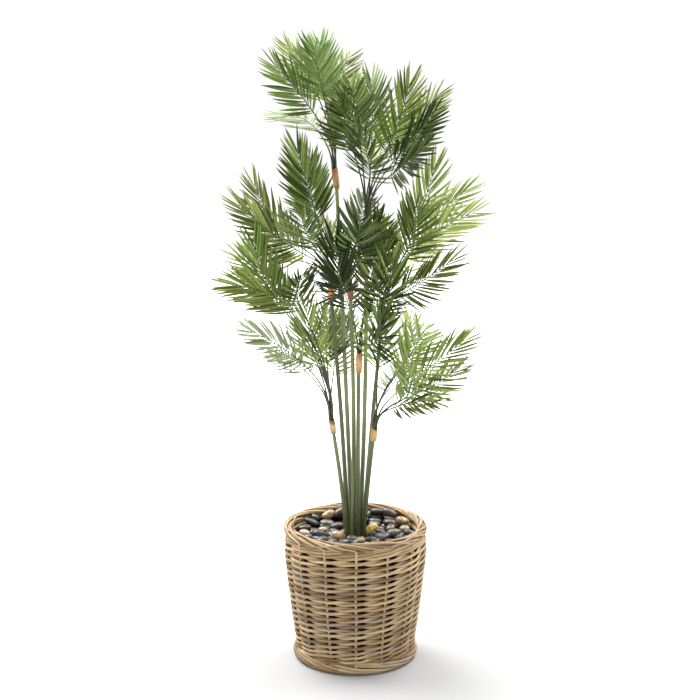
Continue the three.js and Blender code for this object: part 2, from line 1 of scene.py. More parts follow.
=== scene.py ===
"""Looks of an artificial parlor palm in a round woven basket topped with river pebbles.

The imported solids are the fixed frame. The basket, its border, the pebbles, the rods, the husks
and the fronds are each built again here in finer detail, within the reach of their solids.
Sizes are millimetres until a mesh is made. +Z is up, and the photograph looks along +Y.
"""

import logging
import math
import random
from dataclasses import dataclass, field
from enum import Enum
from typing import Any, Iterator, Mapping, Sequence

import bpy
import numpy as np
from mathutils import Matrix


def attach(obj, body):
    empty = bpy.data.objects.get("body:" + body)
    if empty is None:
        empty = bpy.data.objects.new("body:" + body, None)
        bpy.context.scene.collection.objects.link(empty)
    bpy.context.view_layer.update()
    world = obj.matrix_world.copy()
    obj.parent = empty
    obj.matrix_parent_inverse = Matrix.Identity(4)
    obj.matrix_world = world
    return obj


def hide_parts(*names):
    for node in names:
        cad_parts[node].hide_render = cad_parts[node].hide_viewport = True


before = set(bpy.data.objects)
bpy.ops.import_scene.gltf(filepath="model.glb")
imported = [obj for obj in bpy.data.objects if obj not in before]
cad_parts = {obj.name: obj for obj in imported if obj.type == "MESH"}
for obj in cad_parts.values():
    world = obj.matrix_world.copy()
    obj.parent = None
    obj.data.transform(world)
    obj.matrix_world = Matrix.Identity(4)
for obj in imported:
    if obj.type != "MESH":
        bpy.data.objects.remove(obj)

LOG = logging.getLogger("palm")
MM = 0.001  # metres in a millimetre
UV_UNIT = 100.0  # millimetres in one unit of every UV map here
UP = np.array([0.0, 0.0, 1.0])
FRONT = np.array([0.0, -1.0, 0.0])
Array = np.ndarray
Stops = Sequence[tuple[float, str]]


# Small helpers


def linear(colour: str) -> tuple[float, float, float, float]:
    """Turn an sRGB hex colour into the linear colour that Blender works in.

    Args:
        colour: Six hex digits, with or without a leading #.

    Returns:
        Linear red, green and blue, and an alpha of 1.
    """
    digits = colour.lstrip("#")
    shares = (int(digits[i : i + 2], 16) / 255 for i in (0, 2, 4))
    return (*(s / 12.92 if s <= 0.04045 else ((s + 0.055) / 1.055) ** 2.4 for s in shares), 1.0)


def shade(colour: str, factor: float) -> str:
    """Make an sRGB hex colour lighter, by a factor above 1, or darker."""
    digits = colour.lstrip("#")
    return "".join(f"{min(255, round(int(digits[i : i + 2], 16) * factor)):02x}" for i in (0, 2, 4))


def blend_hex(first: str, second: str, share: float) -> str:
    """Mix two sRGB hex colours.

    Args:
        first: Colour at a share of 0.
        second: Colour at a share of 1.
        share: Part of the second colour.

    Returns:
        The mixed colour as six hex digits.
    """
    a, b = first.lstrip("#"), second.lstrip("#")
    pairs = ((int(a[i : i + 2], 16), int(b[i : i + 2], 16)) for i in (0, 2, 4))
    return "".join(f"{round(low + (high - low) * share):02x}" for low, high in pairs)


def lerp(low: Any, high: Any, share: Any) -> Any:
    """Value or point at a share of the way from low to high."""
    return low + (high - low) * share


def unit(vector: Array) -> Array:
    """Vectors of length 1 in the same directions, along the last axis."""
    return vector / np.linalg.norm(vector, axis=-1, keepdims=True)


def direction(heading: float, rise: float) -> Array:
    """Unit vector with a heading from +X and a rise, both in degrees."""
    turn, tilt = math.radians(heading), math.radians(rise)
    return np.array([math.cos(tilt) * math.cos(turn), math.cos(tilt) * math.sin(turn), math.sin(tilt)])


def circle(turns: Array) -> Array:
    """Unit vectors outward at angles in radians from +X."""
    return np.stack([np.cos(turns), np.sin(turns), 0 * turns], 1)


def ring_tangents(path: Array) -> Array:
    """Unit vectors along a path that ends where it starts."""
    return unit(np.roll(path, -1, 0) - np.roll(path, 1, 0))


def along(profile: Sequence[tuple[float, float]], position: Any) -> Any:
    """Value of a line of (position, value) pairs at one or more positions."""
    places, values = zip(*profile)
    return np.interp(position, places, values)


def bezier(points: Sequence[Array], shares: Array) -> tuple[Array, Array]:
    """Points and unit tangents of a quadratic curve.

    Args:
        points: Start, control point and end.
        shares: Places on the curve from 0 to 1. Beyond 1 it runs on.

    Returns:
        The points and the tangents, one row for each share.
    """
    start, control, end = points
    s = shares[:, None]
    place = start * (1 - s) ** 2 + control * 2 * s * (1 - s) + end * s**2
    tangent = (control - start) * (1 - s) + (end - control) * s
    return place, unit(tangent)


def square_to(vectors: Array, axes: Array) -> Array:
    """Unit vectors square to the axes, each nearest to its own vector."""
    return unit(vectors - (vectors * axes).sum(-1, keepdims=True) * axes)


def carry(vector: Array, start: Array, ends: Array) -> Array:
    """Turn a vector along with a direction, by the shortest way.

    Args:
        vector: The vector to turn.
        start: The direction as a unit vector.
        ends: One or more directions that it turns to.

    Returns:
        The turned vector for each end.
    """
    axes = np.cross(start, ends)
    share = (ends @ start)[..., None]
    return vector * share + np.cross(axes, vector) + axes * (axes @ vector)[..., None] / (1 + share)


def add_node(
    tree: bpy.types.NodeTree,
    kind: str,
    links: Mapping[str | int, bpy.types.NodeSocket] | None = None,
    values: Mapping[str | int, Any] | None = None,
    stops: Stops = (),
    **settings: Any,
) -> bpy.types.Node:
    """Add one node with its settings, values and links.

    Args:
        tree: Node tree of the material.
        kind: Blender's name of the node type.
        links: Output socket that feeds each input.
        values: Value of each unlinked input.
        stops: Position and hex colour of each stop, where the node is a colour ramp.
        **settings: Properties of the node.

    Returns:
        The new node.
    """
    node = tree.nodes.new(kind)
    for name, setting in settings.items():
        setattr(node, name, setting)
    for socket, value in (values or {}).items():
        node.inputs[socket].default_value = value
    for socket, source in (links or {}).items():
        tree.links.new(source, node.inputs[socket])
    for i, (position, colour) in enumerate(stops):
        elements = node.color_ramp.elements
        element = elements[i] if i < len(elements) else elements.new(position)
        element.position, element.color = position, linear(colour)
    return node


# Finishes


@dataclass(frozen=True)
class Finish:
    """What every finish has: a name, a base colour and how the surface shines."""

    name: str
    colour: str
    roughness: float = 0.5
    ior: float = 1.5

    def material(self) -> bpy.types.Material:
        """Make the material once, and find it again after that.

        Returns:
            The material.
        """
        known = bpy.data.materials.get(self.name)
        if known:
            return known
        made = bpy.data.materials.new(self.name)
        made.use_nodes = True
        shader = made.node_tree.nodes["Principled BSDF"]
        shader.inputs["Base Color"].default_value = linear(self.colour)
        shader.inputs["Roughness"].default_value = self.roughness
        shader.inputs["IOR"].default_value = self.ior
        made.diffuse_color = linear(self.colour)
        self.dress(made.node_tree, shader)
        return made

    def dress(self, tree: bpy.types.NodeTree, shader: bpy.types.Node) -> None:
        """Add the pattern, relief and gloss of this finish. A plain finish adds none."""


@dataclass(frozen=True)
class Rattan(Finish):
    """Split rattan core, left bare. The splitting tears long fibres open, so that fine dark
    streaks run along each strand, and sun and water leave it in uneven tans and greys."""

    streak: float = 1.6  # mm between streaks. Real fibres lie 0.5 mm apart, too fine to show
    streak_length: float = 45.0
    patch: float = 60.0  # mm along which a strand keeps its tone
    patch_width: float = 30.0

    def dress(self, tree: bpy.types.NodeTree, shader: bpy.types.Node) -> None:
        """Streaks and patches along the strand, with the streaks also as relief.

        Args:
            tree: Node tree of the material.
            shader: Its surface shader.
        """
        place = add_node(tree, "ShaderNodeTexCoord").outputs["UV"]
        fine = (UV_UNIT / self.streak_length, UV_UNIT / self.streak, 1)
        drawn = add_node(tree, "ShaderNodeMapping", {"Vector": place}, {"Scale": fine}).outputs[0]
        fibre = add_node(tree, "ShaderNodeTexNoise", {"Vector": drawn},
                         {"Scale": 1.0, "Detail": 3.0, "Roughness": 0.65}).outputs["Fac"]
        broad = (UV_UNIT / self.patch, UV_UNIT / self.patch_width, 1)
        spread = add_node(tree, "ShaderNodeMapping", {"Vector": place}, {"Scale": broad}).outputs[0]
        patches = add_node(tree, "ShaderNodeTexNoise", {"Vector": spread},
                           {"Scale": 1.0, "Detail": 2.0}).outputs["Fac"]
        tones = [(0.3, shade(self.colour, 0.5)), (0.5, self.colour), (0.72, shade(self.colour, 1.18))]
        streaks = add_node(tree, "ShaderNodeValToRGB", {"Fac": fibre}, stops=tones).outputs[0]
        worn = [(0.32, shade(self.colour, 0.78)), (0.66, shade(self.colour, 1.1))]
        weathered = add_node(tree, "ShaderNodeValToRGB", {"Fac": patches}, stops=worn).outputs[0]
        mixed = add_node(tree, "ShaderNodeMix", {6: streaks, 7: weathered}, {0: 0.5}, data_type="RGBA")
        tree.links.new(mixed.outputs[2], shader.inputs["Base Color"])
        bump = add_node(tree, "ShaderNodeBump", {"Height": fibre}, {"Strength": 0.5, "Distance": 0.0006})
        tree.links.new(bump.outputs[0], shader.inputs["Normal"])


@dataclass(frozen=True)
class RiverStone(Finish):
    """River stone, rolled smooth and waxed for sale. It is mottled all through, with a satin
    gloss that breaks where fine grains stand out."""

    mottle: float = 9.0  # mm between the soft blotches
    grain: float = 1.4  # mm between grains, about three times the real size, so that they show

    def dress(self, tree: bpy.types.NodeTree, shader: bpy.types.Node) -> None:
        """Blotches and grains through the stone, and a gloss that follows them.

        Args:
            tree: Node tree of the material.
            shader: Its surface shader.
        """
        place = add_node(tree, "ShaderNodeTexCoord").outputs["Object"]
        blotch = add_node(tree, "ShaderNodeTexNoise", {"Vector": place},
                          {"Scale": 1000 / self.mottle, "Detail": 4.0, "Distortion": 0.8}).outputs["Fac"]
        grain = add_node(tree, "ShaderNodeTexNoise", {"Vector": place},
                         {"Scale": 1000 / self.grain, "Detail": 2.0}).outputs["Fac"]
        tones = [(0.32, shade(self.colour, 0.68)), (0.52, self.colour), (0.72, shade(self.colour, 1.28))]
        mottled = add_node(tree, "ShaderNodeValToRGB", {"Fac": blotch}, stops=tones).outputs[0]
        speck = [(0.38, "b4b4b4"), (0.6, "ffffff")]
        specks = add_node(tree, "ShaderNodeValToRGB", {"Fac": grain}, stops=speck).outputs[0]
        mixed = add_node(tree, "ShaderNodeMix", {6: mottled, 7: specks}, {0: 0.55},
                         data_type="RGBA", blend_type="MULTIPLY")
        tree.links.new(mixed.outputs[2], shader.inputs["Base Color"])
        gloss = add_node(tree, "ShaderNodeMapRange", {"Value": grain},
                         {"To Min": self.roughness - 0.08, "To Max": self.roughness + 0.14})
        tree.links.new(gloss.outputs[0], shader.inputs["Roughness"])
        bump = add_node(tree, "ShaderNodeBump", {"Height": grain}, {"Strength": 0.25, "Distance": 0.0004})
        tree.links.new(bump.outputs[0], shader.inputs["Normal"])


@dataclass(frozen=True)
class MouldedRod(Finish):
    """Polyethylene drawn over a steel core. The tool leaves fine ribs along the rod, and the dye
    is streaked with them. The colour is darker towards the foot, which gives it the look of a cane."""

    foot_colour: str = "5c763a"
    stripe: float = 2.2  # mm from stripe to stripe, as on the real rod
    stripe_length: float = 160.0
    foot_reach: tuple[float, float] = (0.30, 0.52)  # m above the floor where the dark foot fades

    def dress(self, tree: bpy.types.NodeTree, shader: bpy.types.Node) -> None:
        """Stripes along the rod, over a colour that is darker at the foot.

        Args:
            tree: Node tree of the material.
            shader: Its surface shader.
        """
        coordinates = add_node(tree, "ShaderNodeTexCoord")
        scale = (UV_UNIT / self.stripe_length, UV_UNIT / self.stripe, 1)
        drawn = add_node(tree, "ShaderNodeMapping", {"Vector": coordinates.outputs["UV"]},
                         {"Scale": scale}).outputs[0]
        stripe = add_node(tree, "ShaderNodeTexNoise", {"Vector": drawn},
                          {"Scale": 1.0, "Detail": 2.0, "Roughness": 0.55}).outputs["Fac"]
        tones = [(0.34, shade(self.colour, 0.6)), (0.5, self.colour), (0.68, shade(self.colour, 1.3))]
        striped = add_node(tree, "ShaderNodeValToRGB", {"Fac": stripe}, stops=tones).outputs[0]
        place = coordinates.outputs["Object"]
        height = add_node(tree, "ShaderNodeSeparateXYZ", {"Vector": place}).outputs["Z"]
        low, high = self.foot_reach
        rise = add_node(tree, "ShaderNodeMapRange", {"Value": height},
                        {"From Min": low, "From Max": high})
        foot = [(0.0, shade(self.foot_colour, 1.1)), (1.0, "ffffff")]
        tint = add_node(tree, "ShaderNodeValToRGB", {"Fac": rise.outputs[0]}, stops=foot).outputs[0]
        mixed = add_node(tree, "ShaderNodeMix", {6: striped, 7: tint}, {0: 0.6},
                         data_type="RGBA", blend_type="MULTIPLY")
        tree.links.new(mixed.outputs[2], shader.inputs["Base Color"])
        bump = add_node(tree, "ShaderNodeBump", {"Height": stripe}, {"Strength": 0.6, "Distance": 0.0006})
        tree.links.new(bump.outputs[0], shader.inputs["Normal"])


@dataclass(frozen=True)
class Husk(Finish):
    """Thin moulded sheath, pressed with the fibres of a dry palm husk and brushed brown at its
    torn edges, with a dull, papery surface."""

    foot_colour: str = "98794a"
    edge_colour: str = "9c5c34"
    length: float = 45.0
    fibre: float = 1.5  # mm between fibres
    fibre_length: float = 30.0

    def dress(self, tree: bpy.types.NodeTree, shader: bpy.types.Node) -> None:
        """Fibres along the sheath, browner towards both ends, and most at the torn one.

        Args:
            tree: Node tree of the material.
            shader: Its surface shader.
        """
        place = add_node(tree, "ShaderNodeTexCoord").outputs["UV"]
        scale = (UV_UNIT / self.fibre_length, UV_UNIT / self.fibre, 1)
        drawn = add_node(tree, "ShaderNodeMapping", {"Vector": place}, {"Scale": scale}).outputs[0]
        fibre = add_node(tree, "ShaderNodeTexNoise", {"Vector": drawn},
                         {"Scale": 1.0, "Detail": 3.0, "Roughness": 0.6}).outputs["Fac"]
        rise = add_node(tree, "ShaderNodeSeparateXYZ", {"Vector": place}).outputs["X"]
        share = add_node(tree, "ShaderNodeMapRange", {"Value": rise},
                         {"From Max": self.length / UV_UNIT})
        ends = [(0.0, self.foot_colour), (0.26, self.colour), (0.62, self.colour),
                (0.95, self.edge_colour)]
        brushed = add_node(tree, "ShaderNodeValToRGB", {"Fac": share.outputs[0]}, stops=ends).outputs[0]
        tones = [(0.32, "9a8a7c"), (0.5, "e4dcd2"), (0.68, "ffffff")]
        streaks = add_node(tree, "ShaderNodeValToRGB", {"Fac": fibre}, stops=tones).outputs[0]
        mixed = add_node(tree, "ShaderNodeMix", {6: brushed, 7: streaks}, {0: 0.9},
                         data_type="RGBA", blend_type="MULTIPLY")
        tree.links.new(mixed.outputs[2], shader.inputs["Base Color"])
        bump = add_node(tree, "ShaderNodeBump", {"Height": fibre}, {"Strength": 0.6, "Distance": 0.0005})
        tree.links.new(bump.outputs[0], shader.inputs["Normal"])


@dataclass(frozen=True)
class CoatedLeaf(Finish):
    """Woven polyester, dyed, pressed with veins and dipped in a thin coating. The veins run
    along the leaflet, and the coating gives it a soft, slightly uneven gloss. Its colour is
    plain, and differs from leaflet to leaflet in painted light and shade, with a painted
    sheen on the lighter leaflets."""

    vein: float = 1.2  # mm between veins. Pressed ones lie 0.8 mm apart
    vein_length: float = 40.0

    def dress(self, tree: bpy.types.NodeTree, shader: bpy.types.Node) -> None:
        """Veins as relief, with a gloss that varies along them.

        Args:
            tree: Node tree of the material.
            shader: Its surface shader.
        """
        shader.inputs["Specular IOR Level"].default_value = 0.24
        place = add_node(tree, "ShaderNodeTexCoord").outputs["UV"]
        scale = (UV_UNIT / self.vein_length, UV_UNIT / self.vein, 1)
        drawn = add_node(tree, "ShaderNodeMapping", {"Vector": place}, {"Scale": scale}).outputs[0]
        vein = add_node(tree, "ShaderNodeTexNoise", {"Vector": drawn}, {"Scale": 1.0, "Detail": 1.0})
        gloss = add_node(tree, "ShaderNodeMapRange", {"Value": vein.outputs["Fac"]},
                         {"To Min": self.roughness - 0.1, "To Max": self.roughness + 0.12})
        tree.links.new(gloss.outputs[0], shader.inputs["Roughness"])
        bump = add_node(tree, "ShaderNodeBump", {"Height": vein.outputs["Fac"]},
                        {"Strength": 0.35, "Distance": 0.0004})
        tree.links.new(bump.outputs[0], shader.inputs["Normal"])


@dataclass(frozen=True)
class Matte(Finish):
    """Polypropylene, set foam or paper with a dull, faintly pitted surface, as on a nursery pot."""

    pit: float = 3.0  # mm between pits, a few times the real size, so that they show
    tones: tuple[float, float] = (0.85, 1.1)  # how dark the pits are and how light the rest is

    def dress(self, tree: bpy.types.NodeTree, shader: bpy.types.Node) -> None:
        """Fine pits as relief and as a slight change of tone.

        Args:
            tree: Node tree of the material.
            shader: Its surface shader.
        """
        place = add_node(tree, "ShaderNodeTexCoord").outputs["Object"]
        pit = add_node(tree, "ShaderNodeTexNoise", {"Vector": place},
                       {"Scale": 1000 / self.pit, "Detail": 3.0}).outputs["Fac"]
        dark, light = self.tones
        tones = [(0.35, shade(self.colour, dark)), (0.65, shade(self.colour, light))]
        pitted = add_node(tree, "ShaderNodeValToRGB", {"Fac": pit}, stops=tones).outputs[0]
        tree.links.new(pitted, shader.inputs["Base Color"])
        bump = add_node(tree, "ShaderNodeBump", {"Height": pit}, {"Strength": 0.3, "Distance": 0.001})
        tree.links.new(bump.outputs[0], shader.inputs["Normal"])


@dataclass(frozen=True)
class StudioPaper(Matte):
    """Wide roll of matt white paper. Round the middle, where the plant stands, it has painted
    shade, a grey that fades out far away, so that the soft shadow at its foot shows."""

    # Grey of the painted shade round the middle, where the plant stands
    shadow_grey_colour: str = "a8a8a8"
    shadow_grey_reach: tuple[float, float] = (0.4, 4.0)  # m from the middle where the painted shade fades out

    def dress(self, tree: bpy.types.NodeTree, shader: bpy.types.Node) -> None:
        """The tooth of the paper, and its painted shade by the distance from the middle.

        Args:
            tree: Node tree of the material.
            shader: Its surface shader.
        """
        super().dress(tree, shader)
        pitted = shader.inputs["Base Color"].links[0].from_socket
        place = add_node(tree, "ShaderNodeTexCoord").outputs["Object"]
        away = add_node(tree, "ShaderNodeVectorMath", {0: place},
                        operation="LENGTH").outputs["Value"]
        near, far = self.shadow_grey_reach
        fade = add_node(tree, "ShaderNodeMapRange", {"Value": away},
                        {"From Min": near, "From Max": far})
        # Painted shade: grey near the middle, fading to white far away
        shadow_grey_stops = [(0.0, self.shadow_grey_colour), (1.0, "ffffff")]
        tint = add_node(tree, "ShaderNodeValToRGB", {"Fac": fade.outputs[0]}, stops=shadow_grey_stops).outputs[0]
        mixed = add_node(tree, "ShaderNodeMix", {6: pitted, 7: tint}, {0: 1.0},
                         data_type="RGBA", blend_type="MULTIPLY")
        tree.links.new(mixed.outputs[2], shader.inputs["Base Color"])


class Weathering(Enum):
    """Tones in which the rattan has dried."""

    LIGHT = "b69e77"
    TAN = "a88e66"
    BROWN = "987c56"
    GREY = "a08c72"
    DARK = "7f6545"


class Stone(Enum):
    """Kinds of pebble in the basket, each with its colour."""

    BLACK = "1f1b17"
    BROWN = "34271e"
    MAUVE = "413330"
    SLATE = "2e3334"
    GREY = "625d55"
    OLIVE = "443c28"
    TAN = "a88c66"
    BEIGE = "bda079"
    YELLOW = "cba75c"
    PALE = "a0937a"


class Tone(Enum):
    """Tones of the leaflets, from the shaded inside of the crown to its lit outside."""

    DEEP = "3c5016"
    DARK = "455b17"
    MID = "576c20"
    OLIVE = "6a782a"
    BRIGHT = "54782a"
    LIME = "869442"
    PALE = "6e7a50"


RATTANS = [Rattan(f"split_rattan_{kind.name.lower()}", kind.value, 0.62) for kind in Weathering]
STONES = {
    kind: RiverStone(f"river_stone_{kind.name.lower()}", kind.value, 0.32, 1.5) for kind in Stone
}
ROD_PLASTICS = [
    MouldedRod("moulded_polyethylene_green", "6c7347", 0.5, 1.5),
    MouldedRod("moulded_polyethylene_dark_green", "545e38", 0.5, 1.5),
    MouldedRod("moulded_polyethylene_light_green", "7b825a", 0.5, 1.5),
]
# Painted shade: a liner such as baskets have, made near black so that through the gaps of the weave it
# shows as the shade inside the basket
SHADE_DARK_LINER = Matte("brown_polypropylene_liner", "140c06", 0.9, 1.4)
BEDDING = Matte("dark_set_foam", "15100b", 0.9, 1.45)
STALK_PLASTIC = Matte("moulded_polyethylene_stalk", "363a22", 0.55, 1.48, pit=5.0)
RIB_PLASTIC = Matte("moulded_polyethylene_rib", "4c5836", 0.55, 1.48, pit=5.0)
UNDERSIDE = "647048"  # grey-green towards which the backs of the leaflets go
PAINTED_SHEEN = "bcc8be"  # painted sheen: a pale reflection of the room on the coating, most on the lighter leaflets
# Painted light and shade of the leaflets: the brightness of each shade, and its share of the painted
# sheen
SHADES = ((0.58, 0.0), (0.84, 0.07), (1.05, 0.16), (1.3, 0.27))


def leaf_finishes(tone: Tone) -> list[CoatedLeaf]:
    """Finishes of one tone of leaflet.

    Args:
        tone: The tone.

    Returns:
        Each shade's upper side, then each shade's underside.
    """
    name = f"coated_leaf_{tone.name.lower()}"
    dull = blend_hex(tone.value, UNDERSIDE, 0.35)
    # Each shade is a lit or shaded copy of the tone in painted light, the lighter ones with more painted
    # sheen
    return [
        CoatedLeaf(f"{name}_{side}{i}", blend_hex(shade(colour, light), PAINTED_SHEEN, sheen_share), roughness, 1.42)
        for side, colour, roughness in (("", tone.value, 0.5), ("under_", dull, 0.6))
        for i, (light, sheen_share) in enumerate(SHADES)
    ]


# Meshes


def grid_of(rows: int, columns: int) -> tuple[Array, Array]:
    """Row and column of every cell of a grid, row by row."""
    row, column = np.meshgrid(np.arange(rows), np.arange(columns), indexing="ij")
    return row.ravel(), column.ravel()


class Draft:
    """Points and faces in millimetres, gathered until they become one mesh."""

    def __init__(self) -> None:
        """Start with nothing."""
        self.points: list[Array] = []
        self.corners: list[Array] = []
        self.places: list[Array] = []
        self.tones: list[Array] = []
        self.count = 0

    def add(self, points: Array, faces: Array, places: Array, tones: Array | int = 0) -> None:
        """Add points and the faces between them.

        Args:
            points: One row of x, y and z for each point.
            faces: One row of 3 or 4 indices into the points for each face.
            places: UV of each corner of each face, in millimetres.
            tones: Number of the material, for all the faces or for each.
        """
        self.points.append(points.reshape(-1, 3))
        self.corners.append(faces + self.count)
        self.places.append(places / UV_UNIT)
        self.tones.append(np.broadcast_to(np.asarray(tones), (len(faces),)))
        self.count += len(self.points[-1])

    def skin(
        self, rings: Array, lengths: Array, girth: float, tones: Array | int = 0,
        closed: bool = False, capped: bool = True,
    ) -> None:
        """Add a skin of quads over rings of points.

        Args:
            rings: Points as ring, place in the ring, axis. Each ring runs counterclockwise
                seen from the far end.
            lengths: Distance along the skin at each ring.
            girth: Distance round a ring.
            tones: Number of the material, for all or for each gap between rings.
            closed: Whether the last ring joins the first.
            capped: Whether an open skin's ends are closed.
        """
        count, sides = rings.shape[:2]
        spans = count if closed else count - 1
        i, j = grid_of(spans, sides)
        after, beside = (i + 1) % count, (j + 1) % sides
        low, high = i * sides, after * sides
        faces = np.stack([low + j, low + beside, high + beside, high + j], 1)
        if closed:
            lengths = np.append(lengths, 2 * lengths[-1] - lengths[-2])
        step = girth / sides
        u = np.stack([lengths[i], lengths[i], lengths[i + 1], lengths[i + 1]], 1)
        v = np.stack([j * step, (j + 1) * step, (j + 1) * step, j * step], 1)
        each = np.repeat(np.broadcast_to(np.asarray(tones), (spans,)), sides)
        self.add(rings, faces, np.stack([u, v], 2), each)
        if closed or not capped:
            return
        fan = np.arange(1, sides - 1)
        zero = np.zeros_like(fan)
        last = (count - 1) * sides
        foot, head = np.stack([zero, fan + 1, fan], 1), np.stack([zero, fan, fan + 1], 1)
        ends = np.concatenate([foot, head + last])
        self.corners.append(ends + self.count - count * sides)
        self.places.append(np.zeros((len(ends), 3, 2)))
        self.tones.append(np.repeat([each[0], each[-1]], len(fan)))

    def piece(self, name: str, finishes: Sequence[Finish], crease: float = 40.0) -> bpy.types.Object:
        """Make one object of everything added so far.

        Args:
            name: Name of the piece.
            finishes: Finish for each material number.
            crease: Angle in degrees above which an edge stays sharp.

        Returns:
            The new object, linked to the scene.
        """
        mesh = bpy.data.meshes.new(name)
        points = np.concatenate(self.points) * MM
        sizes = np.concatenate([np.full(len(c), c.shape[1]) for c in self.corners])
        corners = np.concatenate([c.ravel() for c in self.corners])
        places = np.concatenate([p.reshape(-1, 2) for p in self.places])
        mesh.vertices.add(len(points))
        mesh.vertices.foreach_set("co", points.astype(np.float32).ravel())
        mesh.loops.add(len(corners))
        mesh.polygons.add(len(sizes))
        mesh.polygons.foreach_set("loop_start", np.append(0, np.cumsum(sizes)[:-1]).astype(np.int32))
        mesh.polygons.foreach_set("vertices", corners.astype(np.int32))
        mesh.polygons.foreach_set("material_index", np.concatenate(self.tones).astype(np.int32))
        mesh.uv_layers.new(name="UVMap").uv.foreach_set("vector", places.astype(np.float32).ravel())
        mesh.update(calc_edges=True)
        mesh.validate()
        mesh.shade_smooth()
        mesh.set_sharp_from_angle(angle=math.radians(crease))
        for finish in finishes:
            mesh.materials.append(finish.material())
        piece = bpy.data.objects.new(name, mesh)
        bpy.context.scene.collection.objects.link(piece)
        return piece


def hand_over(piece: bpy.types.Object, nodes: Sequence[str]) -> None:
    """Let a finished piece ride on the part and stand for its solids.

    Args:
        piece: The new object.
        nodes: Names of the solids that the piece replaces.
    """
    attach(piece, "root")
    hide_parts(*nodes)
    faces = sum(len(face.vertices) - 2 for face in piece.data.polygons)
    LOG.info("%s: %d triangles, for %s", piece.name, faces, ", ".join(nodes))


def oval_rings(path: Array, across: Array, outward: Array, widths: Any, depths: Any, sides: int) -> Array:
    """Rings of an oval section along a path.

    Args:
        path: Centre of each ring.
        across: Unit vector along the oval's width at each ring.
        outward: Unit vector along its depth at each ring.
        widths: Half width, for all or for each ring.
        depths: Half depth, for all or for each ring.
        sides: Points in a ring.

    Returns:
        Points as ring, place in the ring, axis.
    """
    turn = np.linspace(0, 2 * math.pi, sides, endpoint=False)[None, :, None]
    wide = np.broadcast_to(np.asarray(widths, float), (len(path),))[:, None, None]
    deep = np.broadcast_to(np.asarray(depths, float), (len(path),))[:, None, None]
    return path[:, None] + across[:, None] * wide * np.cos(turn) + outward[:, None] * deep * np.sin(turn)


def runs(count: int, kinds: int, least: int, most: int, draw: random.Random) -> Array:
    """Deal out material numbers in runs of neighbouring spans.

    Args:
        count: Spans in all.
        kinds: Number of materials.
        least: Fewest spans in a run.
        most: Most spans in a run.
        draw: Source of the repeatable choices.

    Returns:
        A material number for each span.
    """
    dealt: list[int] = []
    while len(dealt) < count:
        kind = draw.randrange(kinds)
        dealt += [kind] * draw.randint(least, most)
    return np.array(dealt[:count])


# The basket


@dataclass(frozen=True)
class Rope:
    """Long strands wound round a ring, as in the border and in the foot."""

    radius: float  # of the ring
    height: float  # of the ring
    lay: float  # from the middle of the rope to the middle of a strand
    strands: int
    turns: float  # of a strand round the rope, in one way round the basket
    size: tuple[float, float]  # half width and half depth of a strand


